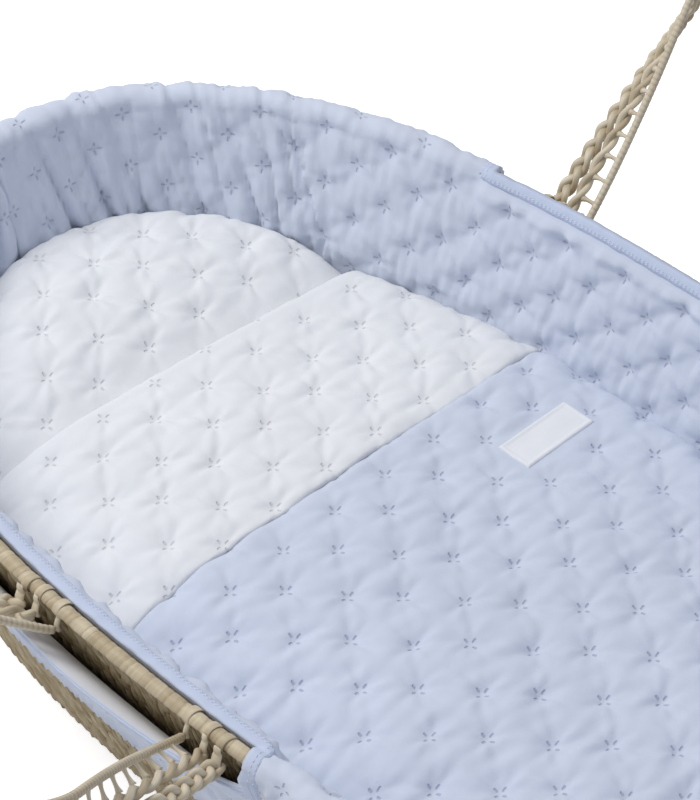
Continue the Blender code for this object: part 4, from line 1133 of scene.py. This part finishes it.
def make_label():
    """Closed slab: a top with a raised rim and a flat underside just on the coverlet."""
    u = np.linspace(-0.5, 0.5, LABEL_COLUMNS)[None, :] * LABEL_SIZE[0]
    v = np.linspace(-0.5, 0.5, LABEL_ROWS)[:, None] * LABEL_SIZE[1]
    inset = np.minimum(LABEL_SIZE[0] / 2 - np.abs(u), LABEL_SIZE[1] / 2 - np.abs(v))
    x, y = u + LABEL_MIDDLE[0] + 0 * v, v + LABEL_MIDDLE[1] + 0 * u
    top = LABEL_THICK * np.sqrt(np.clip(inset / (0.8 * MM), 0.05, 1))
    top = top - 0.45 * MM * eased((inset - LABEL_RIM) / (0.7 * MM)) + 0.12 * MM * waves(x, y, 9, 9 * MM, 30 * MM, 91)
    zigzag = np.sin(2 * np.pi * (u + v) / (2.4 * MM)) * np.exp(-((inset - 1.2 * MM) / (0.9 * MM)) ** 2)
    z = crown(x) + top + 0.13 * MM * zigzag
    near, far = np.stack([x, y, z], axis=-1), np.stack([x, y, crown(x) - 0.2 * MM], axis=-1)
    points, faces = shell(near, far, grid_faces(LABEL_ROWS, LABEL_COLUMNS))
    piece = make_piece("label_tape", points, faces, tape)
    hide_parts("label_patch")


tape = jersey("woven cotton tape", "#F0F1F4")
make_label()

# %% [markdown]
# Under the bedding lie the parts that no photograph of this basket shows: a foam block in a fitted sheet,
# and the liner's cloth floor. They are stacks of rings that follow the outline, closed at both ends.

# %% Mattress, its sheet and the liner's floor
RING_POINTS = 360
FLOOR_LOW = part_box("liner_floor")[0][2]
FLOOR_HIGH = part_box("liner_floor")[1][2]
SHEET_THICK = 1.8 * MM
SIDE_OUT = -(BACK + CLEAR + LOW_DEPTH)


def slab(name, rings, material, node):
    """A closed stack of rings, each given by the level whose outline it has, its offset and its height."""
    run = np.linspace(0, AROUND, RING_POINTS + 1)[:-1]
    points = np.stack([outline(run, level, out) for level, out, _ in rings])
    points[..., 2] = np.array([z for _, _, z in rings])[:, None]
    ends = np.arange(points[..., 0].size).reshape(points.shape[:2])[[0, -1]]
    piece = make_piece(name, points, [grid_faces(len(rings), RING_POINTS, close_columns=True), ends], material)
    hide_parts(node)
    return piece


foam_cloth = jersey("pale cream foam", "#E9E2C8")
inner = SIDE_OUT - SHEET_THICK
foam_top = MATTRESS_TOP - SHEET_THICK - CLEAR
foam_rings = [(MATTRESS_LOW, inner - CLEAR - 4 * MM, MATTRESS_LOW),
              (MATTRESS_LOW, inner - CLEAR, MATTRESS_LOW + 5 * MM),
              (MATTRESS_LOW, inner - CLEAR, foam_top - 5 * MM), (MATTRESS_LOW, inner - 5 * MM, foam_top)]
foam = slab("foam_block", foam_rings, foam_cloth, "mattress_core")
sheet_rings = [(MATTRESS_LOW, inner - 4.7 * MM, foam_top + CLEAR / 2), (MATTRESS_LOW, inner, foam_top - 5 * MM),
               (MATTRESS_LOW, inner, MATTRESS_LOW), (MATTRESS_LOW, SIDE_OUT, MATTRESS_LOW),
               (MATTRESS_LOW, SIDE_OUT, MATTRESS_TOP - 5 * MM), (MATTRESS_LOW, SIDE_OUT - 4.7 * MM, MATTRESS_TOP)]
sheet = slab("cotton_sheet", sheet_rings, plain_white, "fitted_sheet")
floor_out = -(BACK + CLEAR)
floor = slab("liner_floor_cloth", [(FLOOR_LOW, floor_out, FLOOR_LOW), (FLOOR_LOW, floor_out, FLOOR_HIGH)], lining,
             "liner_floor")

# %% [markdown]
# The basket is made of palm: broad dry husk wound round the rim and the handles, and narrow splints woven
# in the wall. All have fibres along their length, so their points carry where they lie on the strip: how
# far along it, how far across and which strip it is. The shader stretches its noise by those numbers.
# The points also carry a value that is each strip's own colour with painted shade in grooves and under crossings.

# %% Palm materials
STREAK = 0.45 * MM
STREAK_LENGTH = 26 * MM
STRAW_LIGHT, STRAW_DARK = "#D8CBB0", "#A08D6C"
SPLINT_LIGHT, SPLINT_DARK = "#CFC0A0", "#8B7752"
ROPE_LIGHT, ROPE_DARK = "#E9DFC9", "#A08C69"
# Painted shade: the colour of the shadow in the gaps of the weave, used for the wall's core and the plait's joints.
SHADE_COLOUR = "#67583E"


def palm(name, light, dark, rough=0.5):
    """Dry palm: streaks along the fibre, a colour per strip with painted shade in it, a soft waxy gloss and ribs."""
    material, output = new_material(name)
    tree = material.node_tree
    strip = add(tree, "Attribute", attribute_name="fibre").outputs["Vector"]
    # This value holds each strip's own colour and painted shade in grooves and where a strip goes under.
    tone_and_shade = add(tree, "Attribute", attribute_name="tone_and_shade").outputs["Fac"]
    drawn = add(tree, "VectorMath", {0: strip, 1: (1 / STREAK_LENGTH, 1 / STREAK / 4, 7.3)}, operation="MULTIPLY")
    streak = add(tree, "TexNoise", {"Vector": drawn.outputs[0], "Scale": 1.0, "Detail": 4.0, "Roughness": 0.6})
    mottle = add(tree, "TexNoise", {"Vector": drawn.outputs[0], "Scale": 0.21, "Detail": 2.0})
    level = add(tree, "Math", {0: streak.outputs["Fac"], 1: tone_and_shade}, operation="ADD")
    level = add(tree, "Math", {0: level.outputs[0], 1: mottle.outputs["Fac"]}, operation="ADD")
    share = add(tree, "MapRange", {0: level.outputs[0], 1: 0.9, 2: 2.1, 3: 0.0, 4: 1.0}).outputs[0]
    colour = add(tree, "Mix", {0: share, 6: linear(dark), 7: linear(light)}, data_type="RGBA").outputs[2]
    bump = add(tree, "Bump", {"Height": streak.outputs["Fac"], "Strength": 0.35, "Distance": 0.0004})
    shader = add(tree, "BsdfPrincipled", {"Base Color": colour, "Roughness": rough, "Normal": bump.outputs[0],
                                          "Specular IOR Level": 0.35})
    tree.links.new(shader.outputs[0], output.inputs["Surface"])
    return material


def woven_palm(name):
    """Palm plait seen flat: bricks on the real surface coordinates, for the parts that keep their solids."""
    material, output = new_material(name)
    tree = material.node_tree
    where = add(tree, "TexCoord").outputs["Object"]
    # The brick joints take the painted shade colour, the shadow between the splints.
    brick = add(tree, "TexBrick", {"Vector": where, "Color1": linear(SPLINT_LIGHT), "Color2": linear(SPLINT_DARK),
                                   "Mortar": linear(SHADE_COLOUR), "Scale": 1.0, "Mortar Size": 0.0006,
                                   "Mortar Smooth": 0.6, "Brick Width": 0.016, "Row Height": 0.0052})
    grain = add(tree, "TexNoise", {"Vector": where, "Scale": 900.0, "Detail": 3.0})
    bump = add(tree, "Bump", {"Height": brick.outputs["Fac"], "Strength": 0.8, "Distance": 0.0012}, invert=True)
    fine = add(tree, "Bump", {"Height": grain.outputs["Fac"], "Strength": 0.2, "Distance": 0.0003,
                              "Normal": bump.outputs[0]})
    shader = add(tree, "BsdfPrincipled", {"Base Color": brick.outputs["Color"], "Roughness": 0.6,
                                          "Normal": fine.outputs[0], "Specular IOR Level": 0.3})
    tree.links.new(shader.outputs[0], output.inputs["Surface"])
    return material


# Husk round the rim is pale and a little waxy, the wall's splints are browner and duller, and the handles are
# the palest. The core behind the weave only ever shows as the dark of the gaps, so it is coloured with painted shade.
straw = palm("wound palm husk", STRAW_LIGHT, STRAW_DARK)
splint = palm("palm splint", SPLINT_LIGHT, SPLINT_DARK, 0.55)
rope = palm("twisted palm husk", ROPE_LIGHT, ROPE_DARK)
gloom = jersey("palm in its own shade", SHADE_COLOUR)
plaited = woven_palm("flat palm plait")
print("palm materials ready")

# %% [markdown]
# The rim is a hoop wound with husk: a broad turn of 10.5 mm and a narrow one of 4.5 mm by turns, each a
# little proud of its edges, with a thin joint between that painted shade darkens. Each turn keeps its own
# colour. Only the windows show it from above, so the turns are cut finely there and coarsely under the quilt.

# %% Wound rim
TURN_PITCH = 15.0 * MM
BROAD_TURN = 10.5 * MM
WRAP_BASE = 4.15 * MM
WRAP_BULGE = 0.34 * MM
WRAP_SLANT = 1.6 * MM
RIM_SIDES = 28


def rim_columns(fine, coarse, past):
    """Distances round the rim, fine along both windows and a little past them, coarse elsewhere."""
    stops = [(0, SLOT_START - past, coarse), (SLOT_START - past, SLOT_END + past, fine),
             (SLOT_END + past, AROUND - SLOT_END - past, coarse),
             (AROUND - SLOT_END - past, AROUND - SLOT_START + past, fine), (AROUND - SLOT_START + past, AROUND, coarse)]
    return np.concatenate([np.linspace(a, b, round((b - a) / step) + 1)[:-1] for a, b, step in stops])


def make_rim_wrap():
    """Tube round the rim whose radius swells by 1 - |2u - 1|^3 over each turn's width."""
    run = rim_columns(0.75 * MM, 5 * MM, 20 * MM)[:, None]
    turn = 2 * np.pi * np.arange(RIM_SIDES)[None, :] / RIM_SIDES
    place = run + WRAP_SLANT * np.cos(turn) + 0.5 * MM * waves(run, 0 * run, 8, 30 * MM, 90 * MM, 70)
    index = np.floor(place / TURN_PITCH)
    within = place - index * TURN_PITCH
    broad = within < BROAD_TURN
    share = np.where(broad, within / BROAD_TURN, (within - BROAD_TURN) / (TURN_PITCH - BROAD_TURN))
    swell = 1 - np.abs(2 * share - 1) ** np.where(broad, 5, 3)
    radius = WRAP_BASE + WRAP_BULGE * swell * (0.75 + 0.35 * chance(index, broad, 2))
    points = by_rim(run, radius * np.sin(turn), RIM_Z + radius * np.cos(turn))
    strip = 2 * index + broad
    fibre = np.stack([WRAP_RADIUS * turn + 0 * run, place, strip * 0.37], axis=-1)
    # Each turn's own colour, with painted shade darkening it towards the joints at its edges.
    tone_and_shade = (0.25 + 0.55 * chance(strip, 0 * strip, 5)) * (0.1 + 0.9 * np.clip(swell * 2.2, 0, 1))
    piece = make_piece("rim_wound_husk", points, [grid_faces(len(run), RIM_SIDES, True, True)], straw,
                       values={"fibre": fibre.reshape(-1, 3), "tone_and_shade": tone_and_shade.ravel()})
    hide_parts("rim_wrap")


make_rim_wrap()

# %% [markdown]
# The wall is a close weave of splints. From outside each splint shows as a short steep float, about 4 mm
# wide and 19 mm tall, in staggered rows with gaps where it goes behind. Floats are made only where
# the skirt leaves the wall bare. A plain core behind them closes the wall; it is coloured with painted
# shade, the dark of the gaps, and each float has painted shade towards its ends where it goes behind.

# %% Woven wall
FLOAT_WIDE = 3.8 * MM
FLOAT_TALL = 19.0 * MM
FLOAT_PROUD = 2.1 * MM
FLOAT_PITCH = 4.5 * MM
FLOAT_ROW = 13.5 * MM
FLOAT_LEAN, FLOAT_SWING, FLOAT_SHIFT = 1.2, 2.4, 7 * MM
SLOT_MARGIN, SLOT_DEPTH = 12 * MM, 46 * MM
CORE_OUT, CORE_IN = 1.9 * MM, -3.2 * MM
WALL_TOP = RIM_Z - WRAP_RADIUS - 0.6 * MM
BARE_TOP = HEM_Z + 16 * MM


def floats():
    """Spindles of 4 points by 5 stations: width cos^0.6 and rise cos^0.5 of the way along the float."""
    columns = round(AROUND / FLOAT_PITCH / 2) * 2
    column = np.arange(columns)
    low_rows = np.arange(0.5, BARE_TOP / FLOAT_ROW)
    slot_rows = np.arange(int((RIM_Z - SLOT_DEPTH) / FLOAT_ROW) + 0.5, WALL_TOP / FLOAT_ROW)
    c, r = [a.ravel() for a in np.meshgrid(column, np.concatenate([low_rows, slot_rows]), indexing="ij")]
    run = (c + 0.5) * AROUND / columns
    z = (r + 0.5 * (c % 2) - 0.25) * FLOAT_ROW
    half = half_run(run)
    bare = (z < BARE_TOP) | ((half > SLOT_START - SLOT_MARGIN) & (half < SLOT_END + SLOT_MARGIN))
    run, z, c, r = run[bare], z[bare], c[bare], r[bare]
    t = np.linspace(-1, 1, 5)[None, :, None]
    across = np.array([-1, 0, 1, 0])[None, None, :]
    proud = np.array([0, 1, 0, -0.5])[None, None, :]
    shape = np.cos(t * np.pi / 2 * 0.94)
    jitter, shift = [(chance(c, r, salt) - 0.5)[:, None, None] for salt in (3, 4)]
    place = run[:, None, None] + FLOAT_WIDE / 2 * across * shape ** 0.6 + 1.2 * MM * jitter
    place = place + (FLOAT_LEAN + FLOAT_SWING * shift) * MM * t
    level = np.clip(z[:, None, None] + FLOAT_TALL / 2 * t + FLOAT_SHIFT * shift, CLEAR, WALL_TOP)
    out = CORE_OUT - 0.3 * MM + FLOAT_PROUD * proud * shape ** 0.5 + 0.6 * MM * jitter * shape
    points = outline(place, level + 0 * across, out + 0 * t)
    number = np.arange(20).reshape(5, 4)
    tube = grid_faces(5, 4, close_columns=True)
    base = 20 * np.arange(len(run))[:, None, None]
    faces = (tube[None] + base).reshape(-1, 4)
    caps = (number[[0, -1]][None] + base).reshape(-1, 4)
    strip = (c * 0.61 + r * 1.7)[:, None, None]
    fibre = np.stack(np.broadcast_arrays(FLOAT_TALL / 2 * t, 1.6 * MM * across, strip), axis=-1)
    # Each float's own colour, with painted shade darkening it towards its ends where it goes behind.
    tone_and_shade = 0.02 + 0.8 * chance(c, r, 9)[:, None, None] * (0.2 + 0.8 * shape) * (1 + 0 * across)
    return points, [faces, caps], fibre, tone_and_shade


def make_wall():
    """The core as a closed shell of two grids, and the floats over it."""
    run = np.linspace(0, AROUND, 401)[:-1][None, :]
    z = np.array([0.0, 0.05, 0.11, 0.16, WALL_TOP])[:, None]
    near, far = outline(run, z, CORE_OUT), outline(run, z, CORE_IN)
    points, faces = shell(near, far, grid_faces(5, 400, close_columns=True))
    # The core takes the painted shade colour: it only shows as the shadow in the gaps of the weave.
    core = make_piece("wall_core", points, faces, gloom)
    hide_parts("basket_wall")
    points, faces, values = joined([floats()])
    woven = make_piece("wall_weave", points, faces, splint, values=values)


make_wall()

# %% [markdown]
# The base lies on the floor and the hoop is wound over, so neither is seen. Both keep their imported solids
# and take a flat plait as their material, with its bricks of 16 by 5.2 mm in real size.

# %% Base and hoop keep their solids
for name in ("basket_base", "rim_core"):
    solid = frame["nodes"][name]
    solid.data.materials.clear()
    solid.data.materials.append(plaited)
print("materials on basket_base and rim_core")

# %% [markdown]
# Each handle is a strap of three strands side by side: a fat plait, a two-ply twist, and a thin wound cord
# that short flared ties hold off the twist. The strap rises from the rim, turns as it goes up and loops
# over. Its path and its turning are worked out in the hinge's own plane, and every strand is a tube round
# a line that weaves about that path.

# %% Path of a handle
HANDLE_HEIGHT, HALF_SPAN, STANDOFF = 270 * MM, 66 * MM, 13.5 * MM
STRAP_TURN = math.radians(98)
PLAIT_OFFSET, TWIST_OFFSET, CORD_OFFSET = 0.0, 10.8 * MM, 25.6 * MM
PLAIT_RADIUS, TWIST_RADIUS, CORD_REACH = 6 * MM, 4.3 * MM, 2.9 * MM
STRAP_MIDDLE = 11.25 * MM
HANDLES = {"right": (1, 45.0, 0.0), "left": (-1, 56.0, 15.0)}


def handle_path(count, root, splay):
    """Two legs that stand apart by the splay angle and the arc that touches both, with the run from a root."""
    slant = math.radians(splay)
    centre = (HANDLE_HEIGHT - STRAP_MIDDLE - HALF_SPAN * math.cos(slant)) / (1 + math.sin(slant))
    radius = HALF_SPAN * math.cos(slant) + centre * math.sin(slant)
    up = np.linspace(root, centre - radius * math.sin(slant), count)
    turn = np.linspace(-slant, math.pi + slant, count)[1:-1]
    leg = HALF_SPAN + up * math.tan(slant)
    y = np.concatenate([-leg, -radius * np.cos(turn), leg[::-1]])
    z = np.concatenate([up, centre + radius * np.sin(turn), up[::-1]])
    along = up / math.cos(slant)
    over = along[-1] + radius * (np.minimum(turn, math.pi - turn) + slant)
    return y, z, np.concatenate([along, over, along[::-1]])


def handle_frames(y, z, run):
    """Middle line, width directions and flat normals of the strap in the hinge's plane."""
    points = np.stack([np.full(len(y), STANDOFF), y, z], axis=1)
    tangent = np.gradient(points, axis=0)
    tangent /= np.linalg.norm(tangent, axis=1, keepdims=True)
    face = np.broadcast_to([-1.0, 0.0, 0.0], points.shape)
    inward = np.cross(tangent, face)
    inward = inward * np.where(inward[:, 1] * -y + inward[:, 2] * -z > 0, 1, -1)[:, None]
    share = np.clip(run / (HANDLE_HEIGHT - HALF_SPAN), 0, 1)
    angle = (STRAP_TURN * share ** 1.15)[:, None]
    width = inward * np.cos(angle) + face * np.sin(angle)
    return points, width, np.cross(tangent, width)


def tube(centre, across, flat, half_across, half_flat, sides, strip=0.0, tone_and_shade=0.5):
    """Closed tube: ellipses of half_across and half_flat round a line, with fibre values and colour with painted shade.
    """
    turn = 2 * np.pi * np.arange(sides)[None, :, None] / sides
    wide, high = [np.broadcast_to(h, len(centre))[:, None, None] for h in (half_across, half_flat)]
    points = centre[:, None] + wide * np.cos(turn) * across[:, None] + high * np.sin(turn) * flat[:, None]
    along = np.concatenate([[0], np.cumsum(np.linalg.norm(np.diff(centre, axis=0), axis=1))])
    around = (turn[..., 0] * (wide + high)[..., 0] / 2)
    fibre = np.stack(np.broadcast_arrays(along[:, None], around, strip), axis=-1)
    number = np.arange(points[..., 0].size).reshape(points.shape[:2])
    return points, [grid_faces(len(centre), sides, close_columns=True), number[[0, -1]]], fibre, tone_and_shade


def travelled(points):
    """Distance along a line of points."""
    return np.concatenate([[0], np.cumsum(np.linalg.norm(np.diff(points, axis=0), axis=1))])


print("handle path", len(handle_path(60, 0.0, 0.0)[0]), "points")

# %% [markdown]
# The plait's three strands swing from side to side a third of a turn apart, and each passes over and under
# twice as often: across = A sin(f), flat = B sin(2f). The twist's two plies run round each other. The
# husk that ties each strand to the rim is a flat ribbon that hugs it, so it swings with the handle.

# %% Strands of a handle
PLAIT_PITCH, PLAIT_SWING, PLAIT_RISE = 42 * MM, 3.5 * MM, 1.9 * MM
PLAIT_HALF_WIDE, PLAIT_HALF_HIGH = 3.2 * MM, 2.7 * MM
TWIST_PITCH, TWIST_SWING, PLY_RADIUS = 31 * MM, 1.9 * MM, 2.25 * MM
CORD_RADIUS, CORD_RIDGE, CORD_PITCH = 2.6 * MM, 0.28 * MM, 3.6 * MM
TIE_START, TIE_SPACING, TIE_COUNT = 14 * MM, 15.5 * MM, 11
TIE_NECK, TIE_FOOT = 1.25 * MM, 2.5 * MM
EYE_RADIUS = 5.7 * MM


def strand_line(offset, radius, splay, count):
    """Centre line, width and flat directions of one strand, and the distance along it."""
    root = math.sin(math.radians(splay)) * (radius + STRAP_MIDDLE - offset)
    y, z, run = handle_path(count, root, splay)
    points, width, flat = handle_frames(y, z, run)
    centre = points + width * (offset - STRAP_MIDDLE)
    return centre, width, flat, travelled(centre)


def plait_shapes(splay):
    """Three strands of the plait."""
    centre, width, flat, along = strand_line(PLAIT_OFFSET, PLAIT_RADIUS, splay, 120)
    shapes = []
    for k in range(3):
        phase = 2 * np.pi * (along / PLAIT_PITCH + k / 3)
        swing, rise = [size[:, None] for size in (PLAIT_SWING * np.sin(phase), PLAIT_RISE * np.sin(2 * phase))]
        line = centre + width * swing + flat * rise
        pinch = 0.8 + 0.2 * np.cos(2 * phase)
        # Painted shade: each strand is darker where it dips under the others and lighter where it rides over.
        tone_and_shade = (0.45 + 0.3 * np.sin(2 * phase))[:, None] * np.ones(10)
        shapes.append(tube(line, width, flat, PLAIT_HALF_WIDE * pinch, PLAIT_HALF_HIGH, 10, 3.1 * k, tone_and_shade))
    return shapes


def twist_shapes(splay):
    """Two plies of the twist."""
    centre, width, flat, along = strand_line(TWIST_OFFSET, TWIST_RADIUS, splay, 130)
    shapes = []
    for k in range(2):
        phase = 2 * np.pi * (along / TWIST_PITCH + k / 2)[:, None]
        line = centre + TWIST_SWING * (width * np.cos(phase) + flat * np.sin(phase))
        shapes.append(tube(line, width, flat, PLY_RADIUS, PLY_RADIUS, 10, 1.7 * k, 0.35 + 0.3 * k))
    return shapes


def cord_shapes(splay):
    """The wound cord, and the ties that hold it off the twist, wide where they are wound at both ends."""
    centre, width, flat, along = strand_line(CORD_OFFSET, CORD_REACH, splay, 290)
    ridge = np.abs(np.sin(np.pi * along / CORD_PITCH)) ** 0.6
    radius = CORD_RADIUS - CORD_RIDGE + CORD_RIDGE * ridge
    # Painted shade: the cord is darker in the grooves between its turns.
    shapes = [tube(centre, width, flat, radius, radius, 10, 0.9, (0.15 + 0.45 * ridge)[:, None] * np.ones(10))]
    slant = math.radians(splay)
    up = (TIE_START + TIE_SPACING * np.arange(TIE_COUNT)) * math.cos(slant)
    u = np.linspace(0, 1, 9)
    flare = TIE_NECK + (TIE_FOOT - TIE_NECK) * np.abs(2 * u - 1) ** 2.2
    for sign in (-1, 1):
        y = sign * (HALF_SPAN + up * math.tan(slant))
        points, width, flat = handle_frames(y, up, up / math.cos(slant))
        side = np.cross(width, flat)
        for k in range(TIE_COUNT):
            reach = TWIST_OFFSET + 3.4 * MM + (CORD_OFFSET - TWIST_OFFSET - 3.4 * MM) * u - STRAP_MIDDLE
            line = points[k] + width[k] * reach[:, None] + side[k] * (0.5 * MM * np.sin(np.pi * u))[:, None]
            ones = np.ones((9, 1))
            shapes.append(tube(line, side[k] * ones, flat[k] * ones, flare, 0.8 * flare, 8, 5.3 * k + sign, 0.6))
    return shapes


def eye_shapes(offset, radius, splay):
    """Ribbons from both ends of one strand in to the rim and up round its outer side."""
    root = math.sin(math.radians(splay)) * (radius + STRAP_MIDDLE - offset)
    place = HALF_SPAN + root * math.tan(math.radians(splay)) - (offset - STRAP_MIDDLE) * math.cos(math.radians(splay))
    turn = np.radians(np.linspace(-10, 80, 15))
    reach = EYE_RADIUS + (STANDOFF - EYE_RADIUS) * (1 - eased((turn - turn[0]) / math.radians(40)))
    shapes = []
    for sign in (-1, 1):
        line = np.stack([reach * np.cos(turn), np.full(15, sign * place), root * 0.6 + reach * np.sin(turn)], axis=1)
        ahead = np.gradient(line, axis=0)
        ahead /= np.linalg.norm(ahead, axis=1, keepdims=True)
        across = np.broadcast_to([0.0, 1.0, 0.0], line.shape)
        wide = radius * np.linspace(0.62, 0.4, 15)
        thick = np.linspace(1.7, 0.4, 15) * MM
        shapes.append(tube(line, across, np.cross(ahead, across), wide, thick, 10, 8.1 + offset * 100, 0.75))
    return shapes


def hinge_frame(side_name):
    """Origin and the directions out, along and up of a handle's hinge, from its joint in the frame."""
    side, lean_angle, _ = HANDLES[side_name]
    joint = next(j for j in frame["joints"] if j["name"] == f"handle_{side_name}_swing")
    along = np.array(joint["axis"]) * math.copysign(1, joint["axis"][1])
    across = np.cross(along, (0, 0, 1)) * side
    across /= np.linalg.norm(across)
    lean = math.radians(lean_angle)
    upward = np.array((0.0, 0.0, 1.0))
    up = across * math.sin(lean) + upward * math.cos(lean)
    out = across * math.cos(lean) - upward * math.sin(lean)
    return np.array(joint["pos_m"]), np.stack([out, along, up]), np.stack([across, along, upward])


def make_handle(side_name):
    """The three strands of one handle, each with its eyes, on the handle's own body."""
    origin, turned, _ = hinge_frame(side_name)
    splay = HANDLES[side_name][2]
    strands = {"plait": (plait_shapes, PLAIT_OFFSET, PLAIT_RADIUS), "twist": (twist_shapes, TWIST_OFFSET, TWIST_RADIUS),
               "cord": (cord_shapes, CORD_OFFSET, CORD_REACH)}
    for part, (shapes, offset, radius) in strands.items():
        points, faces, values = joined(shapes(splay) + eye_shapes(offset, radius, splay))
        piece = make_piece(f"handle_{side_name}_{part}_husk", origin + points @ turned, faces, rope, values=values,
                           body=f"handle_{side_name}")
        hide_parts(f"handle_{side_name}_{part}")


for side_name in HANDLES:
    make_handle(side_name)

# %% [markdown]
# Each leg is held by three bands of husk wound over the rim, one beside every strand. They stay on the basket
# when the handle swings, so they are laid in the hinge's level frame and ride with the wall.

# %% Lashings on the rim
LASH_RADIUS = 5.0 * MM
LASH_WIDE = 5.2 * MM
LASH_THICK = 0.4 * MM


def make_lashing(side_name, end_name, sign):
    """Bands of husk over the rim beside each strand of one leg, in the hinge's level frame."""
    origin, _, level = hinge_frame(side_name)
    turn = np.radians(np.linspace(-75, 150, 26))
    shapes = []
    for k, offset in enumerate((PLAIT_OFFSET, TWIST_OFFSET, CORD_OFFSET)):
        place = sign * (HALF_SPAN - offset + STRAP_MIDDLE)
        skew = 0.9 * MM * np.sin(turn)
        line = np.stack([LASH_RADIUS * np.sin(turn), place + skew, LASH_RADIUS * np.cos(turn)], axis=1)
        radial = np.stack([np.sin(turn), 0 * turn, np.cos(turn)], axis=1)
        along = np.broadcast_to([0.0, 1.0, 0.0], line.shape)
        shapes.append(tube(line, along, radial, LASH_WIDE / 2, LASH_THICK, 10, 2.3 * k, 0.55 + 0.1 * k))
    points, faces, values = joined(shapes)
    piece = make_piece(f"lashing_{side_name}_{end_name}_husk", origin + points @ level, faces, straw, values=values)
    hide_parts(f"lashing_{side_name}_{end_name}")


for side_name in HANDLES:
    for end_name, sign in (("foot", -1), ("head", 1)):
        make_lashing(side_name, end_name, sign)
